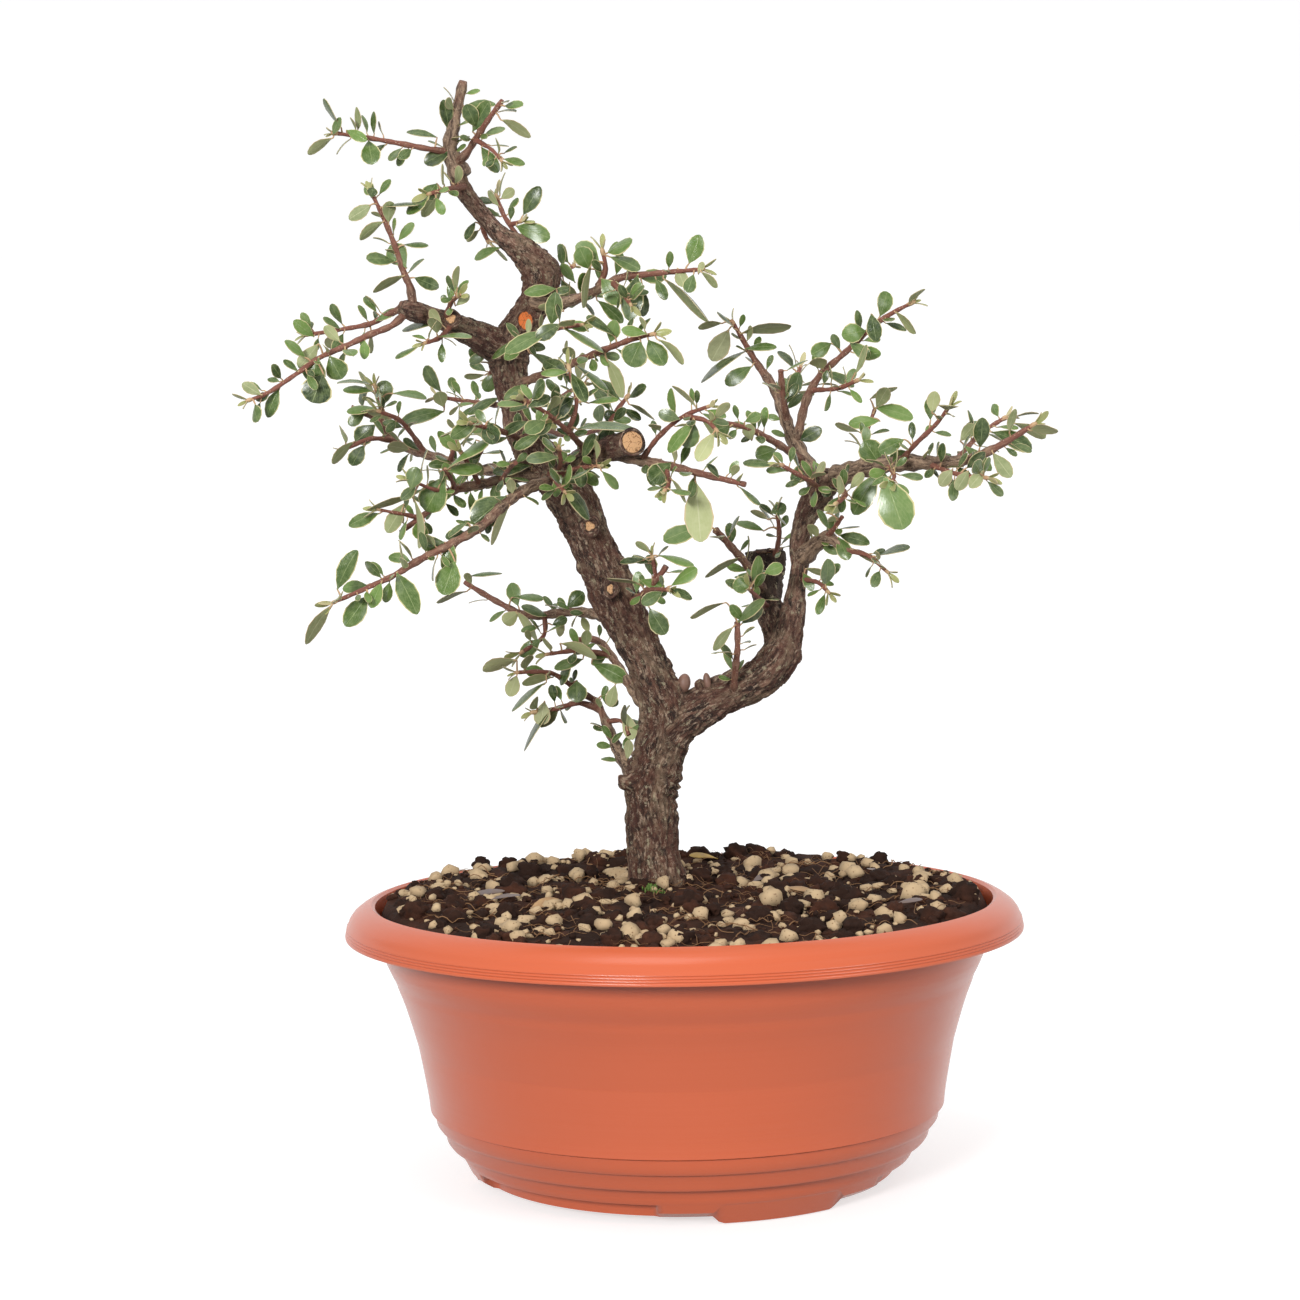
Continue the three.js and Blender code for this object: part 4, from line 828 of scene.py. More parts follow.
for share, tint in [
    (pale_fibres.outputs[0], "#BCA48C"), (dark_streaks.outputs[0], "#2B1B13"),
    (redder.outputs[0], "#563024"), (bleaching.outputs[0], "#998168"),
    (cross_split_shade.outputs[0], "#23150F"), (thickness.outputs[2], "#241811"),
    (lichen.outputs[0], "#B3A88A"),
]:
    layer = node(tree, "ShaderNodeMix", {0: share, 6: surface, 7: colour(tint)}, data_type="RGBA")
    surface = layer.outputs[2]
tree.links.new(surface, shader.inputs["Base Color"])
relief = node(tree, "ShaderNodeBump", {"Height": plates.outputs["Fac"], "Strength": 1.0, "Distance": 0.002})
fine_relief = node(tree, "ShaderNodeBump", {
    "Height": fibres_along.outputs["Fac"], "Normal": relief.outputs[0], "Strength": 0.9, "Distance": 0.001,
})
tree.links.new(fine_relief.outputs[0], shader.inputs["Normal"])
bark_finder = BVHTree.FromBMesh(wood)
finished(wood, "old_wood", [bark], ["trunk_and_limbs"])


# Cut faces: sawn and clipped ends of old twigs, pale dry wood with growth rings and drying cracks, each
# with a rolled lip of bark that has begun to heal over it. One was cut not long ago and is still orange.
# Each is [x, y, z], the way it faces, half its width and height, how fresh it is and how thick its lip is.
# The two stubs have a cut at their end; the others lie on the bark, wherever its surface is from the front.
STUB_LIP = 0.75
CUTS = [
    ((-18.6, -41.6, 323.8), (0.42, -0.9, 0.1), 4.9, 4.9, 0, STUB_LIP),
    ((-38.9, 12.6, 287.6), (0.1, -1, 0.05), 2.4, 2.3, 0, 1.5),
    ((-30.2, 16.0, 259.4), (-0.1, -1, 0.1), 1.6, 2.4, 0, 1.3),
    ((-97.2, -6.0, 379.4), (-0.2, -1, 0.25), 2.5, 2.2, 0, 1.4),
    ((-65.5, 7.4, 378.9), (0.3, -1, 0.1), 3.3, 4.2, 1, 0.4),
    ((40.6, 49.0, 274.0), (-0.12, 0, 1), 7.6, 6.6, 0, STUB_LIP),
]
CUT_SIDES = 28
CUT_THICK = 1.2
CUT_SUNK = 0.4

# Dry end grain: buff wood with close growth rings and a crack across, drawn as a line of painted shade;
# when fresh, bright orange
end_grain, tree, shader = new_material("end_grain", roughness=0.75, ior=1.45)
face_map = node(tree, "ShaderNodeUVMap", uv_map="blade")
centred = node(tree, "ShaderNodeMapping", {"Vector": face_map.outputs[0], "Location": (-0.5, -0.5, 0)})
ring_wave = node(tree, "ShaderNodeTexWave", {
    "Vector": centred.outputs[0], "Scale": 7.0, "Distortion": 2.5, "Detail": 2.0, "Detail Scale": 2.0,
}, wave_type="RINGS", rings_direction="Z")
cracks = node(tree, "ShaderNodeTexNoise", {"Vector": centred.outputs[0], "Scale": 3.0, "Detail": 4.0})
crack_line = node(tree, "ShaderNodeMath", {0: cracks.outputs["Fac"], 1: 0.5, 2: 0.012}, operation="COMPARE")
age = node(tree, "ShaderNodeAttribute", attribute_name="tone")
age_parts = node(tree, "ShaderNodeSeparateColor", {"Color": age.outputs["Color"]})
dry = node(tree, "ShaderNodeMix", {
    0: ring_wave.outputs["Fac"], 6: colour("#B98B60"), 7: colour("#D6AC80"),
}, data_type="RGBA")
fresh_wood = node(tree, "ShaderNodeMix", {
    0: ring_wave.outputs["Fac"], 6: colour("#C4602C"), 7: colour("#DB7A38"),
}, data_type="RGBA")
wood_tone = node(tree, "ShaderNodeMix", {
    0: age_parts.outputs[0], 6: dry.outputs[2], 7: fresh_wood.outputs[2],
}, data_type="RGBA")
# Painted shade: the crack has no depth of its own; it is painted as a darker line across the face
crack_painted_shade = node(tree, "ShaderNodeMix", {
    0: crack_line.outputs[0], 6: wood_tone.outputs[2], 7: colour("#7A4E2A"),
}, data_type="RGBA")
tree.links.new(crack_painted_shade.outputs[2], shader.inputs["Base Color"])

cut_faces = bmesh.new()
for middle, facing, half_wide, half_high, fresh, lip_radius in CUTS:
    if lip_radius != STUB_LIP:
        from_front = AXIS + Vector((middle[0], -SOIL_RADIUS, middle[2])) * MM
        on_bark = bark_finder.ray_cast(from_front, Vector((0, 1, 0)))[0]
        middle = (middle[0], (on_bark - AXIS).y / MM - CUT_SUNK, middle[2])
    turned = Vector(facing).to_track_quat("Z", "Y")
    stand = Matrix.Translation(AXIS + Vector(middle) * MM) @ turned.to_matrix().to_4x4()
    slice_of_wood = bmesh.new()
    face_uv = slice_of_wood.loops.layers.uv.new("blade")
    tone = slice_of_wood.verts.layers.float_color.new("tone")
    bmesh.ops.create_cone(
        slice_of_wood, cap_ends=True, segments=CUT_SIDES, radius1=1, radius2=0.93, depth=1,
        matrix=Matrix.Diagonal((half_wide, half_high, CUT_THICK, 1)),
    )
    for face in slice_of_wood.faces:
        for loop in face.loops:
            spot = loop.vert.co
            loop[face_uv].uv = (0.5 + 0.5 * spot.x / half_wide, 0.5 + 0.5 * spot.y / half_high)
    for vert in slice_of_wood.verts:
        vert[tone] = (fresh, 0, 0, 1)
        vert.co = stand @ (vert.co * MM)
    add_part(cut_faces, slice_of_wood)
    lip_route = []
    for k in range(CUT_SIDES + 1):
        angle = 2 * math.pi * k / CUT_SIDES
        rolled = lip_radius * (1 + 0.3 * math.sin(3 * angle + middle[2]))
        off = 0.7 * lip_radius
        spot = Vector(((half_wide + off) * math.cos(angle), (half_high + off) * math.sin(angle), 0.2))
        lip_route.append(Vector((*(Vector(middle) + turned @ spot), rolled)))
    lip = round_stem(lip_route, 8)
    for face in lip.faces:
        face.material_index = 1
    add_part(cut_faces, lip)
finished(cut_faces, "cut_faces", [end_grain, bark])

# Crotch buds: two smooth red-brown swellings in the fork
BUDS = [((1.9, 28.5, 215.6), 3.0, 4.4, 0.15), ((12.4, 28.5, 216.2), 1.8, 4.0, -0.15)]
bud_skin, tree, shader = new_material("bud_scale", roughness=0.5, ior=1.45)
place = node(tree, "ShaderNodeTexCoord").outputs["Object"]
tones = node(tree, "ShaderNodeTexNoise", {"Vector": place, "Scale": 180.0, "Detail": 2.0})
bud_colour = node(tree, "ShaderNodeMix", {
    0: tones.outputs["Fac"], 6: colour("#5E463C"), 7: colour("#94705F"),
}, data_type="RGBA")
tree.links.new(bud_colour.outputs[2], shader.inputs["Base Color"])
buds = bmesh.new()
for middle, half_wide, half_high, lean in BUDS:
    bmesh.ops.create_icosphere(buds, subdivisions=3, radius=1, matrix=(
        Matrix.Translation(AXIS + Vector(middle) * MM)
        @ Matrix.Rotation(lean, 4, "Y")
        @ Matrix.Diagonal((half_wide * MM, half_wide * MM, half_high * MM, 1))
    ))
for face in buds.faces:
    face.smooth = True
finished(buds, "crotch_buds", [bud_skin])


# Leafy sprays: each is a stem with its side stems, leaf stalks, leaves and buds, grown from the old wood.
# A stem has its radius at both ends, how many of its leaves follow the rule, and its route in millimetres
# from the bowl's axis. Then come the leaves that stand out from the front, as [x, z, tip x, tip z, width
# seen], with a minus where the pale underside shows.
SPRAYS = {
    "apex_spray": ([
        ((4.8, 2), 1, [
            (-92, 7, 442), (-95, 7, 448), (-97, 6, 454), (-96, 4, 460), (-94, 3, 468), (-90, -1, 483),
        ]),
        ((2, 1.1), 2, [(-94, 6, 448), (-89, -1, 452), (-85, -5, 457), (-79, -13, 464), (-72, -18, 472)]),
        ((1.1, 0.6), 1, [(-85, -5, 457), (-77, -16, 451), (-73, -21, 446)]),
        ((1.5, 0.9), 2, [
            (-97, 6, 453), (-107, -2, 454), (-118, -5, 456), (-131, -10, 458), (-145, -13, 460),
        ]),
    ], [
        (-146, 459, -142, 466, 4), (-146, 458, -157, 451, -3), (-131, 457, -129, 446, 9),
        (-102, 459, -115, 461, 4), (-97, 462, -99, 475, 6), (-86, 460, -78, 472, 7),
        (-73, 464, -60, 456, -4), (-96, 454, -108, 448, 7), (-82, 453, -75, 442, 6),
        (-140, 461, -131, 456, 5),
    ]),
    "neck_spray": ([
        ((1.5, 0.9), 2, [(-91, 6, 438), (-97, -13, 435), (-104, -24, 432)]),
    ], [
        (-101, 437, -106, 430, 7), (-99, 434, -108, 423, -5),
    ]),
    "shoulder_spray": ([
        ((1.3, 0.9), 2, [(-66, 14, 412), (-72, 19, 422), (-75, 21, 427), (-78, 25, 435)]),
        ((0.9, 0.7), 1, [(-72, 19, 422), (-67, 14, 423)]),
    ], [
        (-69, 421, -54, 415, 9), (-76, 434, -70, 438, -5),
    ]),
    "shoulder_left_spray": ([
        ((1.1, 0.9), 1, [(-81, 12, 423), (-84, 14, 421), (-82, 17, 415)]),
    ], [
        (-76, 412, -88, 407, 5), (-87, 423, -91, 415, 4),
    ]),
    "left_limb_upright_spray": ([
        ((2, 0.9), 3, [
            (-113, -13, 385), (-114, -14, 393), (-116, -16, 398), (-120, -18, 411), (-124, -20, 422),
            (-129, -21, 433),
        ]),
    ], [
        (-115, 401, -122, 411, 10), (-112, 397, -101, 392, 6), (-129, 428, -139, 422, -6),
        (-124, 427, -108, 427, 2), (-124, 421, -134, 413, -4), (-129, 431, -128, 435, 5),
        (-116, 411, -105, 410, 3), (-116, 398, -130, 391, -3),
    ]),
    "left_limb_high_spray": ([
        ((1.5, 0.9), 3, [
            (-118, -14, 384), (-126, -8, 381), (-133, -5, 378), (-146, -2, 376), (-161, 0, 374),
        ]),
    ], [
        (-158, 373, -166, 380, 6), (-146, 376, -153, 381, 3), (-130, 379, -120, 384, 4),
    ]),
    "left_limb_long_spray": ([
        ((1.7, 0.8), 4, [
            (-116, -14, 382), (-122, -21, 376), (-131, -27, 372), (-141, -32, 367), (-151, -40, 362),
            (-160, -48, 355), (-171, -56, 347), (-178, -62, 344),
        ]),
    ], [
        (-149, 355, -154, 343, 14), (-151, 362, -155, 352, 11), (-147, 363, -142, 353, 10),
        (-151, 368, -160, 358, -7), (-173, 346, -181, 351, -5), (-170, 347, -176, 344, 4),
        (-159, 356, -165, 361, 3),
    ]),
    "left_limb_front_spray": ([
        ((1.3, 0.9), 1, [(-100, -2, 380), (-96, -18, 386), (-92, -27, 388)]),
    ], [
        (-94, 384, -88, 389, -4), (-98, 386, -100, 389, 3),
    ]),
    "left_limb_low_spray": ([
        ((1.3, 0.9), 2, [(-97, 0, 378), (-101, -18, 371), (-107, -29, 368)]),
    ], [
        (-100, 378, -119, 375, 4), (-102, 371, -87, 370, 3),
    ]),
    "left_limb_back_spray": ([
        ((1.3, 0.9), 2, [(-81, 18, 369), (-81, 33, 362), (-84, 38, 356)]),
    ], [
        (-81, 357, -86, 349, 7), (-87, 362, -92, 368, 5),
    ]),
    "upper_right_spray": ([
        ((3.5, 0.9), 3, [
            (-62, 11, 388), (-55, 2, 385), (-47, -4, 386), (-36, -10, 389), (-23, -18, 395),
            (-10, -24, 396), (12, -32, 397),
        ]),
        ((1.5, 0.9), 2, [(-32, -13, 392), (-29, -18, 399), (-30, -21, 406)]),
        ((1.3, 0.8), 1, [(-26, -17, 393), (-22, -29, 388), (-18, -40, 382)]),
    ], [
        (-31, 395, -22, 384, 10), (-15, 396, -19, 376, 10), (-33, 386, -22, 376, 6),
        (-13, 390, -13, 378, 5), (-27, 404, -14, 398, 6), (-36, 399, -40, 408, 9),
        (-35, 401, -39, 382, -3), (11, 395, 13, 400, -3), (12, 396, 19, 389, -3), (2, 398, 5, 390, -6),
        (9, 395, 6, 387, 6), (-4, 394, 15, 375, -3), (-51, 392, -65, 390, 6), (-53, 390, -45, 392, 4),
        (-48, 382, -59, 384, -3),
    ]),
    "upper_back_spray": ([
        ((1.3, 0.9), 2, [(-57, 17, 399), (-51, 30, 400), (-45, 41, 405)]),
    ], [
        (-44, 397, -50, 405, 5),
    ]),
    "crossing_spray": ([
        ((2.2, 0.8), 2, [
            (-70, 13, 351), (-50, -8, 357), (-32, -27, 363), (-19, -40, 367), (-9, -48, 369),
        ]),
    ], [
        (-65, 351, -75, 344, 5), (-14, 366, -19, 356, 12), (-11, 369, -22, 371, 5),
        (-7, 367, 4, 356, -3), (-29, 360, -22, 343, -6), (-25, 369, -37, 377, 4),
        (-43, 358, -29, 347, 3),
    ]),
    "front_upper_spray": ([
        ((1.6, 0.8), 2, [(-71, 12, 365), (-62, -16, 369), (-50, -29, 373), (-39, -40, 374)]),
    ], [
        (-63, 364, -51, 357, 4), (-48, 375, -59, 369, 7), (-53, 372, -72, 363, 7),
        (-70, 370, -80, 362, 4), (-47, 375, -36, 373, 5), (-47, 373, -30, 362, 4),
    ]),
    "middle_right_spray": ([
        ((2.8, 1.1), 2, [
            (-31, -18, 320), (-15, -29, 316), (-5, -35, 314), (10, -46, 310), (29, -56, 305),
        ]),
        ((1.3, 0.8), 2, [(-15, -29, 316), (-7, -43, 326), (3, -48, 334), (14, -54, 338)]),
        ((1.1, 0.8), 1, [(-5, -35, 314), (-3, -48, 307), (-5, -56, 303)]),
        ((1.1, 0.8), 0, [(5, -50, 334), (13, -58, 332), (17, -62, 328)]),
    ], [
        (8, 307, 10, 281, -13), (-2, 315, -11, 307, 10), (8, 331, 4, 321, 9), (8, 332, -3, 319, 6),
        (2, 333, -7, 336, 6), (16, 327, 9, 315, -7), (10, 334, 18, 325, -3), (9, 338, -1, 347, -2),
        (18, 308, 13, 314, 3), (-2, 308, 4, 298, -2),
    ]),
    "middle_front_spray": ([
        ((1.5, 0.8), 2, [(-38, -8, 319), (-46, -32, 329), (-55, -48, 337), (-63, -59, 342)]),
        ((1.1, 0.9), 1, [(-46, -32, 329), (-42, -35, 341), (-45, -35, 356)]),
    ], [
        (-37, 341, -24, 342, 3), (-42, 330, -17, 329, 4), (-62, 339, -52, 343, 5),
        (-43, 343, -54, 336, 9), (-63, 340, -74, 340, 3), (-46, 354, -57, 354, 4),
        (-44, 354, -38, 341, 6),
    ]),
    "middle_up_spray": ([
        ((1.3, 0.9), 2, [(-31, -18, 321), (-28, -10, 334), (-21, -5, 344)]),
    ], [
        (-20, 341, -9, 334, -2), (-33, 319, -28, 330, 8), (-25, 337, -31, 335, 6),
        (-23, 339, -15, 334, 4),
    ]),
    "middle_left_spray": ([
        ((1.6, 0.8), 2, [(-66, 15, 325), (-73, -18, 329), (-80, -35, 331), (-87, -46, 333)]),
        ((1.1, 0.9), 1, [(-68, -1, 326), (-61, -18, 330), (-56, -27, 332)]),
    ], [
        (-57, 329, -69, 322, 5), (-63, 334, -75, 329, 5), (-80, 334, -78, 324, 9),
        (-84, 334, -95, 327, 7),
    ]),
    "middle_back_spray": ([
        ((1.8, 0.9), 2, [(-64, 22, 326), (-59, 57, 338), (-53, 76, 347), (-43, 87, 353)]),
        ((1.4, 1), 2, [(-62, 44, 332), (-49, 76, 329), (-33, 106, 333)]),
    ], [
        (-40, 356, -27, 347, 8), (-31, 337, -21, 336, 4),
    ]),
    "trunk_back_left_spray": ([
        ((1.6, 0.9), 2, [(-71, 20, 342), (-82, 38, 343), (-94, 54, 345), (-110, 68, 348)]),
    ], [
        (-107, 343, -109, 350, -7), (-79, 346, -94, 339, 5), (-107, 341, -126, 336, 7),
    ]),
    "trunk_low_spray": ([
        ((1.3, 0.9), 1, [(-57, 16, 312), (-52, -16, 307), (-48, -27, 303)]),
        ((1.1, 0.9), 2, [(-54, -8, 309), (-44, -21, 313), (-33, -32, 314)]),
        ((1.1, 0.9), 2, [(-54, -8, 309), (-50, -24, 315), (-50, -35, 322)]),
    ], [
        (-49, 306, -38, 291, 6), (-50, 311, -53, 301, 5), (-41, 314, -41, 305, 6),
        (-32, 312, -25, 304, 4), (-37, 314, -28, 314, 3), (-50, 318, -64, 317, 5),
    ]),
    "back_left_branch": ([
        ((3.1, 1.4), 2, [
            (-62, 24, 317), (-80, 38, 314), (-94, 44, 314), (-108, 54, 319), (-121, 65, 323),
            (-131, 73, 328), (-141, 81, 339), (-152, 81, 344),
        ]),
        ((1.4, 0.9), 2, [(-131, 73, 328), (-141, 62, 329), (-153, 57, 324)]),
        ((1.4, 0.9), 2, [(-116, 61, 322), (-125, 49, 336), (-135, 44, 341)]),
        ((1.1, 0.9), 1, [(-104, 50, 317), (-100, 38, 325), (-97, 33, 332)]),
        ((1.2, 0.9), 2, [(-138, 80, 337), (-137, 73, 345), (-139, 68, 353)]),
        ((1.1, 0.9), 1, [(-93, 44, 314), (-88, 33, 322), (-85, 25, 328)]),
    ], [
        (-138, 343, -134, 356, 9), (-140, 336, -150, 328, 10), (-148, 328, -158, 318, -4),
        (-138, 343, -153, 342, 4), (-145, 342, -153, 336, 6), (-131, 350, -115, 347, 4),
        (-140, 351, -154, 352, 4), (-140, 354, -156, 355, 2), (-90, 327, -92, 318, 5),
    ]),
    "dark_left_branch": ([
        ((3.1, 1.1), 1, [
            (-55, 17, 310), (-69, 11, 310), (-87, 3, 307), (-99, -5, 304), (-108, -13, 296),
            (-120, -21, 287),
        ]),
        ((1.1, 0.6), 1, [(-97, -4, 305), (-104, -24, 305), (-113, -32, 309)]),
        ((1.1, 0.6), 1, [(-112, -16, 293), (-119, -27, 295), (-128, -32, 297)]),
        ((1.1, 0.9), 1, [(-87, 3, 307), (-90, -13, 315), (-93, -21, 321)]),
        ((1.1, 0.9), 0, [(-97, -4, 305), (-98, -18, 310), (-100, -24, 314)]),
        ((1.1, 0.9), 1, [(-78, 8, 308), (-73, -16, 313), (-69, -29, 316)]),
    ], [
        (-99, 314, -80, 326, 4), (-100, 311, -109, 296, 13), (-114, 305, -111, 315, 8),
        (-99, 313, -84, 314, 6), (-115, 302, -133, 297, -3), (-117, 300, -125, 287, -7),
        (-113, 302, -111, 280, -4), (-64, 315, -81, 312, 6),
    ]),
    "long_low_branch": ([
        ((2.9, 0.8), 5, [
            (-49, 17, 306), (-59, -13, 307), (-72, -27, 300), (-84, -40, 289), (-96, -52, 282),
            (-108, -63, 276), (-118, -71, 270), (-129, -79, 265), (-141, -89, 260),
        ]),
    ], [
        (-73, 302, -88, 290, 14), (-72, 298, -80, 281, -3), (-98, 283, -108, 282, 7),
        (-89, 291, -97, 285, 3), (-95, 283, -98, 270, 7), (-94, 275, -99, 261, 11),
        (-117, 271, -108, 254, 9), (-123, 267, -127, 257, 6), (-128, 262, -137, 250, 9),
        (-140, 265, -131, 281, 8), (-142, 259, -153, 243, -5), (-123, 269, -129, 276, 4),
    ]),
    "low_left_branch": ([
        ((3.4, 1.6), 0, [(-20, 42, 167), (-29, 60, 182), (-35, 71, 195), (-39, 76, 204)]),
        ((1.6, 0.9), 2, [(-37, 75, 200), (-47, 71, 204), (-58, 65, 202), (-68, 60, 201)]),
        ((1.6, 0.9), 2, [(-39, 76, 204), (-49, 71, 211), (-60, 62, 219), (-75, 54, 220)]),
        ((1.2, 0.9), 1, [(-35, 71, 195), (-27, 60, 196), (-24, 54, 190)]),
    ], [
        (-75, 226, -91, 221, -6), (-75, 219, -79, 209, -7), (-59, 217, -73, 215, -5),
        (-62, 215, -78, 202, 3), (-63, 206, -65, 195, -8), (-60, 203, -73, 183, 3),
        (-48, 215, -48, 205, 10), (-26, 201, -22, 188, -7), (-37, 207, -29, 203, 6),
    ]),
    "behind_left_branch": ([
        ((3, 1.4), 1, [
            (-12, 37, 201), (-17, 52, 204), (-25, 65, 215), (-32, 73, 226), (-39, 79, 233),
            (-48, 81, 233),
        ]),
        ((1.4, 0.9), 2, [(-32, 73, 226), (-46, 65, 229), (-61, 57, 228)]),
    ], [
        (-41, 223, -25, 215, 8), (-55, 233, -38, 227, -6), (-45, 225, -58, 221, 5),
        (-30, 213, -33, 203, -6),
    ]),
    "back_low_branch": ([
        ((3.2, 1.2), 3, [
            (-24, 31, 243), (-31, 46, 244), (-39, 60, 246), (-51, 68, 247), (-70, 76, 245),
            (-84, 81, 251), (-101, 87, 261),
        ]),
        ((1.2, 0.9), 1, [(-63, 73, 246), (-63, 65, 236), (-73, 60, 229)]),
    ], [
        (-98, 264, -83, 265, 2), (-78, 254, -63, 253, 3), (-75, 247, -82, 242, -7),
        (-76, 247, -66, 234, -5), (-61, 245, -73, 250, 4), (-59, 241, -52, 244, 5),
        (-52, 249, -44, 256, 8), (-64, 235, -74, 227, 7),
    ]),
    "inner_spray": ([
        ((1.3, 0.9), 2, [(-22, 23, 253), (-14, -2, 259), (-10, -10, 264), (-11, -16, 274)]),
        ((1.1, 0.9), 1, [(-14, -2, 259), (-10, -13, 260), (-4, -24, 260)]),
        ((1.1, 1.3), 0, [(-10, -10, 264), (-7, -12, 267), (-5, -13, 270)]),
    ], [
        (-13, 251, -6, 239, 9), (-7, 259, -16, 254, 6), (-17, 264, -6, 260, 5),
        (-17, 262, -31, 265, -2), (-4, 261, 6, 256, 4), (-15, 273, -25, 272, 3), (-9, 275, 7, 270, 3),
        (-12, 276, -18, 281, -3),
    ]),
    "right_branch": ([
        ((5.1, 0.9), 3, [
            (70, 4, 307), (85, -8, 312), (99, -16, 313), (114, -24, 313), (126, -29, 314),
            (139, -35, 320), (152, -40, 328),
        ]),
        ((1.3, 0.8), 2, [(97, -16, 313), (103, -29, 321), (111, -37, 329), (116, -43, 336)]),
        ((1.5, 0.9), 2, [(83, -8, 311), (84, 8, 324), (89, 19, 337)]),
        ((1.3, 0.8), 2, [(108, -20, 313), (119, -37, 308), (131, -48, 306)]),
        ((1.3, 0.9), 2, [(120, -27, 313), (133, -8, 325), (145, 3, 332)]),
        ((1.1, 0.8), 0, [(92, -12, 312), (93, -37, 308), (91, -51, 305)]),
    ], [
        (88, 307, 95, 285, 16), (88, 309, 77, 291, 10), (89, 312, 82, 323, 11), (91, 312, 101, 317, 8),
        (109, 334, 110, 343, -6), (89, 338, 106, 333, 7), (148, 330, 163, 323, -4),
        (138, 326, 156, 318, 8), (135, 317, 143, 306, -7), (125, 320, 136, 309, 6),
        (118, 310, 112, 303, -6), (124, 309, 119, 301, -6), (130, 309, 124, 302, -6),
        (87, 342, 99, 347, -3), (91, 332, 77, 331, 6), (142, 325, 144, 335, -4),
        (123, 322, 129, 329, -6), (98, 323, 87, 318, 7),
    ]),
    "right_high_branch": ([
        ((4.4, 0.9), 3, [
            (64, 11, 304), (55, 17, 319), (51, 22, 329), (45, 30, 347), (37, 36, 360), (27, 41, 378),
        ]),
        ((2, 0.9), 1, [(58, 15, 314), (44, -2, 323), (32, -16, 329), (21, -21, 332)]),
        ((1.8, 1.3), 0, [(50, 23, 333), (48, 14, 344), (47, 8, 355)]),
        ((1.3, 0.9), 1, [(48, 26, 338), (53, 46, 348), (58, 60, 358)]),
        ((2.2, 0.9), 4, [
            (54, 19, 323), (58, 11, 341), (64, 6, 352), (74, 0, 361), (90, -8, 375), (103, -16, 382),
        ]),
        ((1.1, 0.9), 1, [(61, 8, 346), (71, -8, 346), (79, -16, 349)]),
    ], [
        (25, 375, 17, 361, -10), (30, 373, 53, 376, -5), (32, 366, 46, 366, 4), (32, 365, 12, 351, 4),
        (35, 358, 23, 350, 7), (84, 371, 73, 369, 9), (86, 378, 88, 366, 7), (96, 379, 105, 369, -3),
        (77, 366, 85, 359, 6), (69, 366, 60, 361, 7), (64, 354, 79, 347, 5), (44, 320, 35, 317, 8),
        (62, 314, 51, 306, 8), (61, 315, 64, 305, 8), (30, 332, 37, 335, 5), (33, 324, 31, 331, -6),
        (55, 324, 65, 329, 7), (22, 378, 11, 376, -3),
    ]),
    "right_front_spray": ([
        ((1.3, 0.9), 2, [(64, 8, 302), (56, -21, 307), (45, -32, 313)]),
    ], []),
    "right_low_spray": ([
        ((1.3, 0.9), 1, [(69, 5, 305), (73, -24, 300), (68, -35, 296)]),
    ], [
        (71, 307, 77, 309, 4), (68, 304, 65, 299, 5),
    ]),
    "right_twig": ([
        ((4.5, 1.5), 0, [(56, 19, 272), (61, 13, 277), (66, 6, 281), (71, 2, 278), (75, -1, 275)]),
        ((1.3, 0.7), 2, [(75, -1, 275), (83, -8, 273), (91, -16, 266)]),
        ((1.3, 0.9), 1, [(66, 6, 281), (69, -4, 285), (72, -12, 290)]),
    ], [
        (71, 282, 84, 278, 6), (71, 281, 75, 271, 7), (76, 276, 89, 269, -3), (65, 292, 72, 294, -3),
    ]),
    "red_shoot": ([
        ((2.3, 1.5), 1, [(39, 42, 256), (30, 17, 270), (17, 0, 285)]),
    ], [
        (13, 287, -6, 281, 8), (30, 273, 12, 264, -3),
    ]),
    "upright_twig": ([
        ((1.8, 1.3), 2, [(24, 29, 210), (25, 17, 222), (26, 10, 232), (26, 6, 244)]),
    ], [
        (24, 242, 15, 232, -5), (21, 253, 5, 247, -3), (26, 244, 38, 254, 5), (28, 245, 23, 252, 5),
    ]),
    "stub_top_spray": ([
        ((1.4, 0.9), 2, [(44, 45, 270), (46, 30, 281), (45, 22, 292)]),
    ], [
        (42, 292, 49, 295, 6), (39, 284, 26, 288, 4), (41, 289, 33, 293, -3),
    ]),
    "stub_front_spray": ([
        ((1.1, 0.9), 1, [(41, 40, 249), (35, 6, 255), (31, -5, 259)]),
    ], [
        (32, 262, 24, 260, 8), (43, 251, 32, 246, 5), (38, 266, 46, 269, 6),
    ]),
    "right_limb_spray": ([
        ((1.1, 0.9), 1, [(55, 21, 262), (62, 6, 261), (66, -2, 257)]),
    ], [
        (56, 265, 60, 257, 5), (57, 267, 66, 264, -3),
    ]),
}
LEAF_SEED = 7043
LEAF_LENGTH = (9.5, 15.5)
LEAF_SHAPE = (0.52, 0.66)
LEAF_TRIES = 8
CROWN_MIDDLE = (-14, 24)
BALL_PLACES = (0.3, 0.65, 0.97)
BALL_RADIUS = 1.6
BALL_SPREAD = 0.36
ROUTE_BALLS = 4
OWN_GAP = 2.4
OTHERS_GAP = 2
LOOK_ROUND = 18


class Leaf:
    """A leaf: where its stalk leaves the stem, where its blade starts and ends, and how it is turned."""

    def __init__(self, root, base, tip, face, width):
        self.root, self.base, self.tip, self.face, self.width = root, base, tip, face, width
        self.length = (tip - base).length

    def balls(self):
        """Five points of the blade that are kept clear of what else grows there."""
        along = self.tip - self.base
        across = along.normalized().cross(self.face) * (BALL_SPREAD * self.width)
        middle = self.base + along * 0.5
        return [self.base + along * t for t in BALL_PLACES] + [middle + across, middle - across]


taken = []


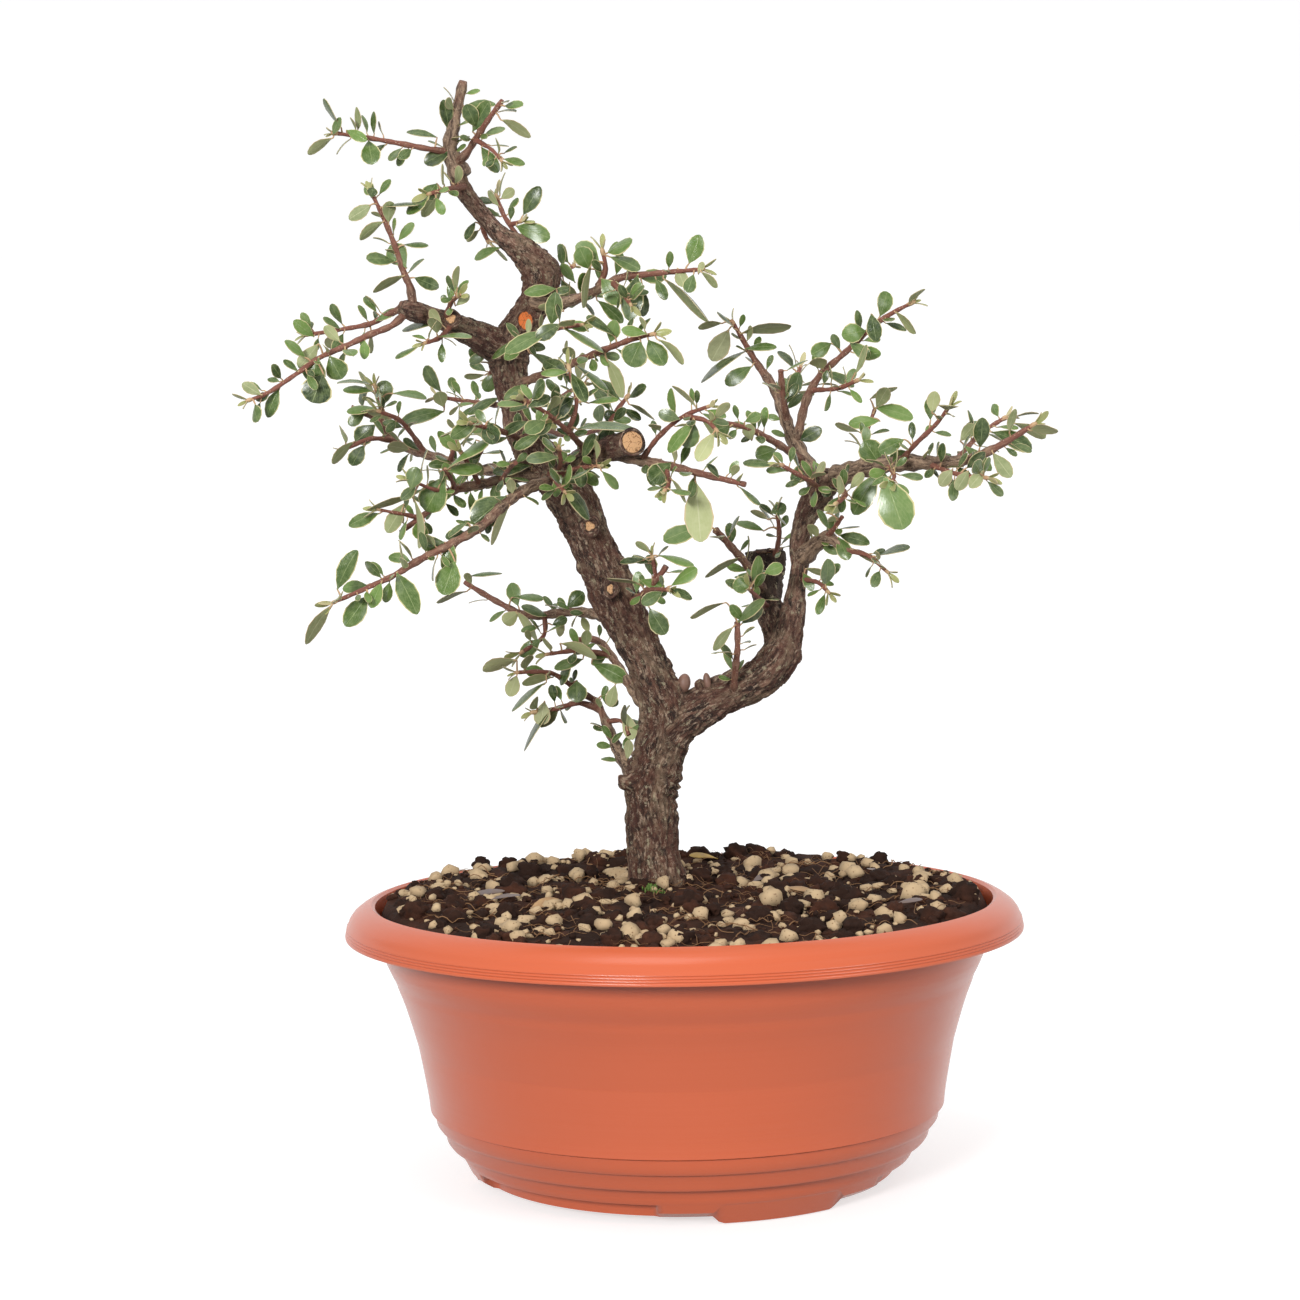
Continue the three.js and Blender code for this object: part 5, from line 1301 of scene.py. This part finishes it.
def take_route(path, radii, owner):
    """Marks where a stem or limb runs."""
    for k in range(len(path) - 1):
        start, end = Vector(path[k][:3]), Vector(path[k + 1][:3])
        steps = math.ceil((end - start).length / ROUTE_BALLS)
        for j in range(steps + 1):
            radius = radii[k] + (radii[k + 1] - radii[k]) * j / steps
            taken.append((start.lerp(end, j / steps), radius, owner, False))


def is_clear(leaf, owner):
    """Whether a leaf keeps its distance from other sprays and from its own spray's leaves."""
    middle = leaf.base.lerp(leaf.tip, 0.5)
    reach = 0.5 * leaf.length + LOOK_ROUND
    near = [ball for ball in taken if (ball[0] - middle).length < reach]
    for spot in leaf.balls():
        for other, radius, other_owner, of_leaf in near:
            apart = (spot - other).length
            if other_owner == owner:
                if of_leaf and apart <= OWN_GAP:
                    return False
            elif apart <= radius + OTHERS_GAP:
                return False
    return True


def square_to(along, wish):
    """The direction nearest to a wish that is square to another."""
    return (wish - along * wish.dot(along)).normalized()


def nearest_on_stems(stems, x, z):
    """The point of a spray's stems that lies nearest to x and z, as seen from the front."""
    best = None
    for _, _, path in stems:
        for start, end in zip(path, path[1:]):
            run_x, run_z = end[0] - start[0], end[2] - start[2]
            t = ((x - start[0]) * run_x + (z - start[2]) * run_z) / (run_x ** 2 + run_z ** 2)
            point = Vector(start).lerp(Vector(end), min(max(t, 0), 1))
            apart = math.hypot(point.x - x, point.z - z)
            if best is None or apart < best[0]:
                best = (apart, point)
    return best[1]


def shown_leaf(stems, x, z, tip_x, tip_z, seen):
    """A leaf that stands out from the front, turned so that it looks as wide as it does there."""
    root = nearest_on_stems(stems, x, z)
    length = math.hypot(tip_x - x, tip_z - z)
    lean = draw(-0.55, 0.15) * length
    base = Vector((x, root.y - draw(0.5, 3), z))
    tip = Vector((tip_x, base.y + lean, tip_z))
    along = (tip - base).normalized()
    width = max(abs(seen), 0.5 * length)
    turned = math.acos(min(abs(seen) / width, 1))
    front = square_to(along, Vector((0, 1 if seen < 0 else -1, 0)))
    upward = front.cross(along)
    face = front * math.cos(turned) + upward * math.sin(turned) * (-1 if upward.z < 0 else 1)
    return Leaf(root, base, tip, face, width)


def ruled_leaf(ends, path, place, turn):
    """A leaf by rule: at its place along a stem, turned out, up and toward the light."""
    segments = len(path) - 1
    k = min(math.floor(place * segments), segments - 1)
    here = path_frames(path)[k]
    root = Vector(path[k]).lerp(Vector(path[k + 1]), place * segments - k)
    angle = turn + draw(-0.6, 0.6)
    out = here[0] * math.cos(angle) + here[1] * math.sin(angle)
    along = out * draw(0.6, 1.1)
    along += here[2] * draw(0.2, 0.9)
    along += Vector((draw(-0.2, 0.2), draw(-0.3, 0.1), draw(-0.1, 0.4)))
    along.normalize()
    length = draw(*LEAF_LENGTH)
    base = root + along * draw(2, 4)
    tip = base + along * length
    outward = Vector((base.x - CROWN_MIDDLE[0], base.y - CROWN_MIDDLE[1], 0)).normalized()
    wish = outward * 0.45 + Vector((draw(-0.6, 0.6), draw(-1, 0.3), draw(0.2, 1.1)))
    return Leaf(root, base, tip, square_to(along, wish), length * draw(*LEAF_SHAPE))


def path_frames(path):
    """Across, side and along at each point of a path."""
    points = [Vector(point) for point in path]
    frames = []
    across = None
    for k in range(len(points)):
        along = (points[min(k + 1, len(points) - 1)] - points[max(k - 1, 0)]).normalized()
        if across is None:
            across = Vector((0, 1, 0)) if abs(along.y) < 0.9 else Vector((1, 0, 0))
        across = (across - along * across.dot(along)).normalized()
        frames.append((across, along.cross(across), along))
    return frames


def clear_leaf(make_leaf, owner):
    """Draws a leaf again until it is clear; returns the last draw where none is."""
    leaf = make_leaf()
    for _ in range(LEAF_TRIES - 1):
        if is_clear(leaf, owner):
            break
        leaf = make_leaf()
    return leaf


def take_leaf(leaf, owner):
    """Marks where a leaf is."""
    taken.extend((ball, BALL_RADIUS, owner, True) for ball in leaf.balls())


def spray_leaves(name, stems, shown):
    """All leaves of a spray: those that stand out from the front, then those that follow the rule."""
    leaves = []
    for numbers in shown:
        leaf = clear_leaf(lambda: shown_leaf(stems, *numbers), name)
        take_leaf(leaf, name)
        leaves.append(leaf)
    for ends, count, path in stems:
        for k in range(count):
            place = min(0.3 + 0.7 * (k + 0.8) / count, 1)
            leaf = clear_leaf(lambda: ruled_leaf(ends, path, place, 2.4 * k + ends[0]), name)
            if is_clear(leaf, name):
                take_leaf(leaf, name)
                leaves.append(leaf)
    return leaves


# Leaf blade: leathery and slightly domed, widest past its middle, with a blunt tip, a sunken midrib and a
# fine pale edge. The template is a flat closed blade, 2 wide and 1 long, that each leaf bends to its form.
ACROSS = 4
ALONG = 7
BLADE_THICK = 0.32
template = bmesh.new()
bmesh.ops.create_grid(template, x_segments=ACROSS, y_segments=ALONG, size=1)
for vert in template.verts:
    vert.co = (vert.co.x, (vert.co.y + 1) / 2, 0)
bmesh.ops.solidify(template, geom=template.faces, thickness=0.1)
bmesh.ops.recalc_face_normals(template, faces=template.faces)
TOP_FACE, UNDER_FACE, STALK_FACE = 1, 2, 3
blade_uv = template.loops.layers.uv.new("blade")
top_height = max(vert.co.z for vert in template.verts)
for face in template.faces:
    face.smooth = True
    face.material_index = TOP_FACE if face.normal.z > 0.5 else UNDER_FACE
    for loop in face.loops:
        loop[blade_uv].uv = ((loop.vert.co.x + 1) / 2, loop.vert.co.y)
for edge in template.edges:
    edge.smooth = all(abs(face.normal.z) > 0.5 for face in edge.link_faces)
blade_template = as_mesh(template, "blade_template")
ARCH = 0.24
LEAF_CHANCE_SEED = 57
chance = random.Random(LEAF_CHANCE_SEED)


def blade_part(leaf, young=0):
    """The leaf's blade, bent from the template to its arch, fold, curl and twist."""
    part = bmesh.new()
    part.from_mesh(blade_template)
    tone = part.verts.layers.float_color.new("tone")
    bent = leaf.tip - leaf.base
    widest = chance.uniform(0.52, 0.68)
    wedge = chance.uniform(0.9, 1.3)
    blunt = chance.uniform(1.6, 2.2)
    fold = chance.uniform(0.0, 0.22)
    curl = chance.uniform(0.05, 0.3)
    twist = chance.uniform(-0.35, 0.35)
    wave = chance.uniform(0, 6.3)
    look = (chance.random() ** 1.4, chance.random(), young, 1)
    for vert in part.verts:
        a, t, side = vert.co.x, vert.co.y, 0 if vert.co.z > top_height - 0.05 else -1
        t = 0.5 - 0.5 * math.cos(math.pi * t)
        if t < widest:
            share = max(math.sin(0.5 * math.pi * t / widest) ** wedge, 0.07)
        else:
            share = max(1 - ((t - widest) / (1 - widest)) ** blunt, 0.01) ** 0.5
        way = (bent + leaf.face * (ARCH * leaf.length * (1 - 2 * t))).normalized()
        up = square_to(way, leaf.face)
        up = Matrix.Rotation(twist * (t - 0.4), 3, way) @ up
        across = way.cross(up)
        half = 0.5 * leaf.width * share
        lift = half * (fold * abs(a) - curl * a * a) + 0.03 * half * a * a * math.sin(7 * t + wave)
        thick = BLADE_THICK * (1.4 - 0.9 * abs(a))
        middle = leaf.base + bent * t + leaf.face * (ARCH * leaf.length * t * (1 - t))
        spot = middle + across * (a * half) + up * (lift + side * thick)
        vert.co = AXIS + spot * MM
        vert[tone] = look
    return part


def stalk_part(leaf, stem_finder, radius):
    """The leaf's stalk, from inside the stem up under the blade's base."""
    near = stem_finder.find(leaf.root)[0]
    along = (leaf.tip - leaf.base).normalized()
    middle = near.lerp(leaf.base, 0.55) + Vector((0, 0, 0.12 * (leaf.base - near).length))
    under = leaf.base + along * (0.1 * leaf.length) - leaf.face * 0.15
    points = [
        (*near, radius * 1.25), (*middle, radius), (*(leaf.base - leaf.face * 0.2), radius * 0.85),
        (*under, radius * 0.5),
    ]
    part = round_stem(smooth_route(points, 1.2), 5)
    for face in part.faces:
        face.material_index = STALK_FACE
    return part


STEM_FLARE = 0.45
STEM_STEP = 2.2


def stem_route(ends, path):
    """A stem's smooth route with its radius, swollen a little at the nodes."""
    last = len(path) - 1
    points = [(*point, ends[0] + (ends[1] - ends[0]) * k / last) for k, point in enumerate(path)]
    route = smooth_route(points, STEM_STEP)
    for k, point in enumerate(route):
        point.w *= 1 + 0.12 * math.sin(1.9 * k + ends[0]) + 0.06 * math.sin(0.8 * k)
        point.w += STEM_FLARE * 0.5 ** k
    return route


# Leaf skins: glossy dark green cuticle above, felted pale grey-green below. Both have a midrib, side veins
# that curve to the edge, and a fine pale margin, drawn on the blade's own map.
def leaf_skin(name, dark, bright, grey, silky, rib, margin, gloss, rib_width):
    """One side of a leaf: its colours from the leaf's own tone, and its veins from the blade's map."""
    material, tree, shader = new_material(name, roughness=gloss, ior=1.45)
    place = node(tree, "ShaderNodeTexCoord").outputs["Object"]
    look = node(tree, "ShaderNodeAttribute", attribute_name="tone")
    own = node(tree, "ShaderNodeSeparateColor", {"Color": look.outputs["Color"]})
    blade_map = node(tree, "ShaderNodeUVMap", uv_map="blade")
    on_blade = node(tree, "ShaderNodeSeparateXYZ", {"Vector": blade_map.outputs[0]})
    from_rib = node(tree, "ShaderNodeMath", {0: on_blade.outputs[0], 1: 0.5}, operation="SUBTRACT")
    off_rib = node(tree, "ShaderNodeMath", {0: from_rib.outputs[0]}, operation="ABSOLUTE")
    mottle = node(tree, "ShaderNodeTexNoise", {
        "Vector": place, "Scale": 420.0, "Detail": 4.0, "Roughness": 0.65,
    })
    grown = node(tree, "ShaderNodeMix", {
        0: own.outputs[0], 6: colour(dark), 7: colour(bright),
    }, data_type="RGBA")
    greyed = node(tree, "ShaderNodeMapRange", {"Value": own.outputs[1], "From Min": 0.6, "To Max": 0.45})
    mottled_amount = node(tree, "ShaderNodeMapRange", {
        "Value": mottle.outputs["Fac"], "From Min": 0.4, "From Max": 0.75, "To Max": 0.4,
    })
    slope = node(tree, "ShaderNodeMath", {
        0: off_rib.outputs[0], 1: -1.1, 2: on_blade.outputs[1],
    }, operation="MULTIPLY_ADD")
    vein_wave = node(tree, "ShaderNodeMath", {0: slope.outputs[0], 1: 58.0}, operation="MULTIPLY")
    vein_sine = node(tree, "ShaderNodeMath", {0: vein_wave.outputs[0]}, operation="SINE")
    veins = node(tree, "ShaderNodeMapRange", {
        "Value": vein_sine.outputs[0], "From Min": 0.86, "From Max": 1.0, "To Max": 0.22,
    })
    rib_line = node(tree, "ShaderNodeMapRange", {
        "Value": off_rib.outputs[0], "From Min": rib_width, "From Max": 0.4 * rib_width, "To Max": 0.65,
    })
    edge_line = node(tree, "ShaderNodeMapRange", {
        "Value": off_rib.outputs[0], "From Min": 0.435, "From Max": 0.475, "To Max": 0.95,
    })
    surface = grown.outputs[2]
    for share, tint in [
        (greyed.outputs[0], grey), (own.outputs[2], silky), (mottled_amount.outputs[0], rib),
        (veins.outputs[0], rib), (rib_line.outputs[0], rib), (edge_line.outputs[0], margin),
    ]:
        layer = node(tree, "ShaderNodeMix", {0: share, 6: surface, 7: colour(tint)}, data_type="RGBA")
        surface = layer.outputs[2]
    tree.links.new(surface, shader.inputs["Base Color"])
    groove = node(tree, "ShaderNodeMath", {0: rib_line.outputs[0], 1: veins.outputs[0]}, operation="ADD")
    sunk = node(tree, "ShaderNodeBump", {
        "Height": groove.outputs[0], "Strength": 0.35, "Distance": 0.0004,
    }, invert=True)
    grained = node(tree, "ShaderNodeBump", {
        "Height": mottle.outputs["Fac"], "Normal": sunk.outputs[0], "Strength": 0.25, "Distance": 0.0003,
    })
    tree.links.new(grained.outputs[0], shader.inputs["Normal"])
    return material


leaf_top = leaf_skin(
    "leaf_cuticle", "#1F3310", "#62803A", "#74865C", "#A9A66E", "#93A06A", "#C9BF8E", 0.24, 0.02,
)
leaf_under = leaf_skin(
    "leaf_felt", "#7F8A5C", "#A9AE7A", "#A39E7C", "#C7B98C", "#B9BB92", "#C4AE88", 0.6, 0.035,
)


# Twig bark: smooth and red-brown while young, grey-brown and furrowed when older, with painted shade in the
# furrows, and with pale raised specks
twig_bark, tree, shader = new_material("twig_bark", roughness=0.62, ior=1.45)
place = node(tree, "ShaderNodeTexCoord").outputs["Object"]
look = node(tree, "ShaderNodeAttribute", attribute_name="tone")
own = node(tree, "ShaderNodeSeparateColor", {"Color": look.outputs["Color"]})
lengthwise = node(tree, "ShaderNodeAttribute", attribute_name="grain")
stretched = node(tree, "ShaderNodeMapping", {"Vector": lengthwise.outputs["Vector"], "Scale": (1, 1, 0.25)})
streaks = node(tree, "ShaderNodeTexNoise", {
    "Vector": stretched.outputs[0], "Scale": 1.6, "Detail": 5.0, "Roughness": 0.7,
})
old = node(tree, "ShaderNodeMapRange", {"Value": own.outputs[1], "From Min": 0.26, "From Max": 0.62})
young_tone = node(tree, "ShaderNodeMix", {
    0: streaks.outputs["Fac"], 6: colour("#5C2E24"), 7: colour("#9C6452"),
}, data_type="RGBA")
old_furrows = node(tree, "ShaderNodeTexNoise", {
    "Vector": stretched.outputs[0], "Scale": 0.6, "Detail": 7.0, "Roughness": 0.78, "Distortion": 0.6,
})
# Painted shade: the furrows, the low parts of the old bark's relief, are painted dark brown
furrow_shade = node(tree, "ShaderNodeMapRange", {
    "Value": old_furrows.outputs["Fac"], "From Min": 0.41, "From Max": 0.6,
})
old_bark_with_furrow_shade = node(tree, "ShaderNodeMix", {
    0: furrow_shade.outputs[0], 6: colour("#3A261C"), 7: colour("#A1876F"),
}, data_type="RGBA")
twig_tone = node(tree, "ShaderNodeMix", {
    0: old.outputs[0], 6: young_tone.outputs[2], 7: old_bark_with_furrow_shade.outputs[2],
}, data_type="RGBA")
specks = node(tree, "ShaderNodeTexVoronoi", {"Vector": place, "Scale": 700.0})
speck_mask = node(tree, "ShaderNodeMapRange", {
    "Value": specks.outputs["Distance"], "From Min": 0.24, "From Max": 0.12, "To Max": 0.6,
})
twig_colour = node(tree, "ShaderNodeMix", {
    0: speck_mask.outputs[0], 6: twig_tone.outputs[2], 7: colour("#C7B09A"),
}, data_type="RGBA")
tree.links.new(twig_colour.outputs[2], shader.inputs["Base Color"])
twig_relief = node(tree, "ShaderNodeBump", {
    "Height": old_furrows.outputs["Fac"], "Strength": 0.8, "Distance": 0.001,
})
tree.links.new(twig_relief.outputs[0], shader.inputs["Normal"])

# Stalks and buds: tan with a rosy flush, finely downy
stalk_skin = mottled_material("downy_stalk", 0.6, 260.0, 2.0, "#A06A52", "#C9B488")

STALK_RADIUS = 0.42
THICK_STEM = 2
THICK_SIDES = 10
THIN_SIDES = 7
SMALL_LEAF_PACE = 4.3
TIP_LEAVES = 3
CUT_TIP = 1


def small_leaf(route, place, turn):
    """One of the small leaves that crowd the side buds along a stem."""
    k = min(int(place * (len(route) - 1)), len(route) - 2)
    along_stem = (route[k + 1].xyz - route[k].xyz).normalized()
    out = square_to(along_stem, Vector((math.cos(turn), -0.4 * abs(math.sin(turn)), math.sin(turn))))
    along = (out + along_stem * chance.uniform(0.1, 0.8) + Vector((0, 0, 0.25))).normalized()
    length = chance.uniform(6, 10.5)
    root = route[k].xyz
    base = root + along * chance.uniform(1.8, 3.2)
    wish = Vector((chance.uniform(-0.6, 0.6), chance.uniform(-1, 0.1), chance.uniform(0.2, 1)))
    tip = base + along * length
    return Leaf(root, base, tip, square_to(along, wish), length * chance.uniform(0.42, 0.56))


def tip_leaf(route, turn):
    """A young leaf, still half folded round the bud at a stem's tip."""
    tip = route[-1].xyz
    along_stem = (tip - route[-2].xyz).normalized()
    out = square_to(along_stem, Vector((math.cos(turn), 0.3, math.sin(turn))))
    along = (along_stem + out * chance.uniform(0.25, 0.7)).normalized()
    length = chance.uniform(4.5, 9)
    face = square_to(along, out * -1)
    return Leaf(tip, tip, tip + along * length, face, length * chance.uniform(0.3, 0.42))


for path in LIMBS.values():
    take_route(path, [point[3] for point in path], "limbs")
for name, (stems, _) in SPRAYS.items():
    for ends, _, path in stems:
        take_route(path, [ends[0]] * len(path), name)

# Every larger leaf is placed before any small one, so that the draws stay in step with the solids' leaves
seed = LEAF_SEED
larger_leaves = {name: spray_leaves(name, stems, shown) for name, (stems, shown) in SPRAYS.items()}
for name, (stems, _) in SPRAYS.items():
    spray = bmesh.new()
    routes = [stem_route(ends, path) for ends, _, path in stems]
    spots = [point.xyz for route in routes for point in route]
    stem_finder = kdtree.KDTree(len(spots))
    for k, spot in enumerate(spots):
        stem_finder.insert(spot, k)
    stem_finder.balance()
    for (ends, _, _), route in zip(stems, routes):
        add_part(spray, round_stem(route, THICK_SIDES if ends[0] > THICK_STEM else THIN_SIDES))
        tip = route[-1]
        if tip.w >= CUT_TIP:
            continue
        way = (tip.xyz - route[-2].xyz).normalized()
        bud = bmesh.new()
        bmesh.ops.create_icosphere(bud, subdivisions=2, radius=1, matrix=(
            Matrix.Translation(AXIS + tip.xyz * MM)
            @ way.to_track_quat("Z", "Y").to_matrix().to_4x4()
            @ Matrix.Diagonal((1.2 * tip.w * MM, 1.2 * tip.w * MM, 2.4 * tip.w * MM, 1))
        ))
        for face in bud.faces:
            face.smooth = True
            face.material_index = STALK_FACE
        add_part(spray, bud)
    for leaf in larger_leaves[name]:
        add_part(spray, blade_part(leaf))
        add_part(spray, stalk_part(leaf, stem_finder, STALK_RADIUS))
    for (ends, _, _), route in zip(stems, routes):
        for k in range(round(len(route) * STEM_STEP / SMALL_LEAF_PACE)):
            leaf = small_leaf(route, chance.uniform(0.25, 0.97), 2.4 * k + ends[0])
            if is_clear(leaf, name):
                take_leaf(leaf, name)
                add_part(spray, blade_part(leaf))
                add_part(spray, stalk_part(leaf, stem_finder, 0.75 * STALK_RADIUS))
        for k in range(TIP_LEAVES if route[-1].w < CUT_TIP else 0):
            add_part(spray, blade_part(tip_leaf(route, 2.1 * k + ends[0]), 0.8))
    finished(spray, name + "_leafy", [twig_bark, leaf_top, leaf_under, stalk_skin], [name])


# Litter on the soil: dry tan leaves, a yellow one, slate-coloured flakes of old bark, and a tuft of moss
# at the trunk's foot. The leaves are the tree's own, dropped; each lies loose on the mix.
TAN_LEAF, YELLOW_LEAF, FLAKE = 0, 1, 2
LITTER_LIFT = 3.2
litter = bmesh.new()

# Each is x, y and length in millimetres, its heading in radians, how far it tips, and its skin. The first
# five lie where the photo shows them; the last four are made up.
LITTER = [
    (-60, -25, 15, 0.5, 0.9, TAN_LEAF), (10, 100, 14, 2.9, 0.4, YELLOW_LEAF), (-88, 1, 17, 0.2, 0.5, FLAKE),
    (-78, -16, 13, 0.1, 0.5, FLAKE), (35, 27, 12, 0.9, 1.1, FLAKE), (96, -52, 12, 0.3, 0.6, FLAKE),
    (52, -10, 13, 2.6, 0.6, TAN_LEAF), (-30, -60, 11, 1.2, 0.5, TAN_LEAF), (88, 40, 11, 2.2, 0.5, FLAKE),
]
for x, y, length, heading, tilt, kind in LITTER:
    lift = ground_at(x, y) + LITTER_LIFT
    way = Vector((math.cos(heading), math.sin(heading), 0.12))
    base = Vector((x, y, lift)) - way * length / 2
    face = square_to(way, Vector((0.3 * math.sin(tilt), -tilt * 0.6, 1)))
    width = (0.3 if kind == FLAKE else 0.45) * length
    fallen = blade_part(Leaf(base, base, base + way * length, face, width))
    for part in fallen.faces:
        part.material_index = kind
    add_part(litter, fallen)

# Dead leaf is dry and matt, browned in spots; a flake of bark is smoother, so it shines a little
DEAD_SKINS = [
    ("dead_leaf", 0.7, "#B89468"), ("yellow_leaf", 0.55, "#C9A437"), ("slaty_flake", 0.4, "#565560"),
]
dead_skins = [
    mottled_material(name, roughness, 300.0, 4.0, tint, "#7A5F48") for name, roughness, tint in DEAD_SKINS
]
finished(litter, "fallen_litter", dead_skins)

# Moss: a loose tuft of soft green shoots, matt because each is covered in tiny leaves
MOSS_AT = (-14, 11)
MOSS_SHOOTS = 45
moss = bmesh.new()
for _ in range(MOSS_SHOOTS):
    x = MOSS_AT[0] + chance.gauss(0, 1.8)
    y = MOSS_AT[1] + chance.gauss(0, 1.3)
    foot = Vector((x, y, ground_at(x, y) - 0.3))
    lean = Vector((chance.uniform(-0.5, 0.5), chance.uniform(-0.7, 0.3), 1)).normalized()
    tip = foot + lean * chance.uniform(2.2, 3.4)
    shoot = [(*foot, 0.3), (*(foot + lean * 1.3), 0.38), (*tip, 0.1)]
    add_part(moss, round_stem([Vector(point) for point in shoot], 5))
moss_leaf = mottled_material("moss", 0.8, 500.0, 2.0, "#35501F", "#6E8C3E")
finished(moss, "moss_tuft", [moss_leaf])


# Studio: white paper that runs back on the table and curves up behind, and glows a little so that it is
# white all over. It throws no soft light back on the piece, so the bowl's underside and rim keep their
# shade. The main soft light stands at the front left, with weaker ones at the right and above.
SHEET_HALF = 3
SHEET_PROFILE = [(-1.8, -0.0005), (1.4, -0.0005), (1.8, 0.06), (2.1, 0.25), (2.3, 0.6), (2.3, 3.2)]
SHEET_GLOW = 0.62
sheet = bmesh.new()
front = [sheet.verts.new((x, *SHEET_PROFILE[0])) for x in (-SHEET_HALF, SHEET_HALF)]
edge = sheet.edges.new(front)
for (y, z), (next_y, next_z) in zip(SHEET_PROFILE, SHEET_PROFILE[1:]):
    new = bmesh.ops.extrude_edge_only(sheet, edges=[edge])["geom"]
    edge = next(part for part in new if isinstance(part, bmesh.types.BMEdge))
    bmesh.ops.translate(sheet, verts=list(edge.verts), vec=(0, next_y - y, next_z - z))
bmesh.ops.recalc_face_normals(sheet, faces=sheet.faces)
floor = linked("paper_sheet", as_mesh(sheet, "paper_sheet"))
white_paper, tree, shader = new_material("white_paper", roughness=0.8)
shader.inputs["Base Color"].default_value = colour("#BCBCBC")
shader.inputs["Emission Color"].default_value = colour("#FFFFFF")
shader.inputs["Emission Strength"].default_value = SHEET_GLOW
floor.data.materials.append(white_paper)
floor.visible_diffuse = False

# The room's light is bright from above and dim from below
world = bpy.data.worlds.new("studio")
bpy.context.scene.world = world
world.use_nodes = True
sky = world.node_tree
above = node(sky, "ShaderNodeTexCoord").outputs["Generated"]
height = node(sky, "ShaderNodeSeparateXYZ", {"Vector": above})
fading = node(sky, "ShaderNodeMapRange", {
    "Value": height.outputs[2], "From Min": -0.5, "From Max": 0.6, "To Min": 0.15, "To Max": 0.8,
})
sky.links.new(fading.outputs[0], sky.nodes["Background"].inputs["Strength"])
sky.nodes["Background"].inputs["Color"].default_value = colour("#FFFFFF")

# Each lamp has a place and a size in metres and a power in watts, and is aimed at the tree's middle
LAMP_AIM = Vector((0, 0, 0.22))
LAMPS = [
    ("front_left", (-0.8, -2.1, 0.85), 0.5, 43), ("right", (1.6, -1.2, 0.7), 0.8, 14),
    ("above", (-0.2, -0.4, 1.9), 0.8, 5),
]
for name, spot, size, power in LAMPS:
    lamp_data = bpy.data.lights.new(name, "AREA")
    lamp_data.size = size
    lamp_data.energy = power
    lamp = linked(name, lamp_data)
    aimed = (LAMP_AIM - Vector(spot)).to_track_quat("-Z", "Y")
    lamp.matrix_world = Matrix.Translation(spot) @ aimed.to_matrix().to_4x4()
bpy.context.scene.view_settings.view_transform = "Standard"
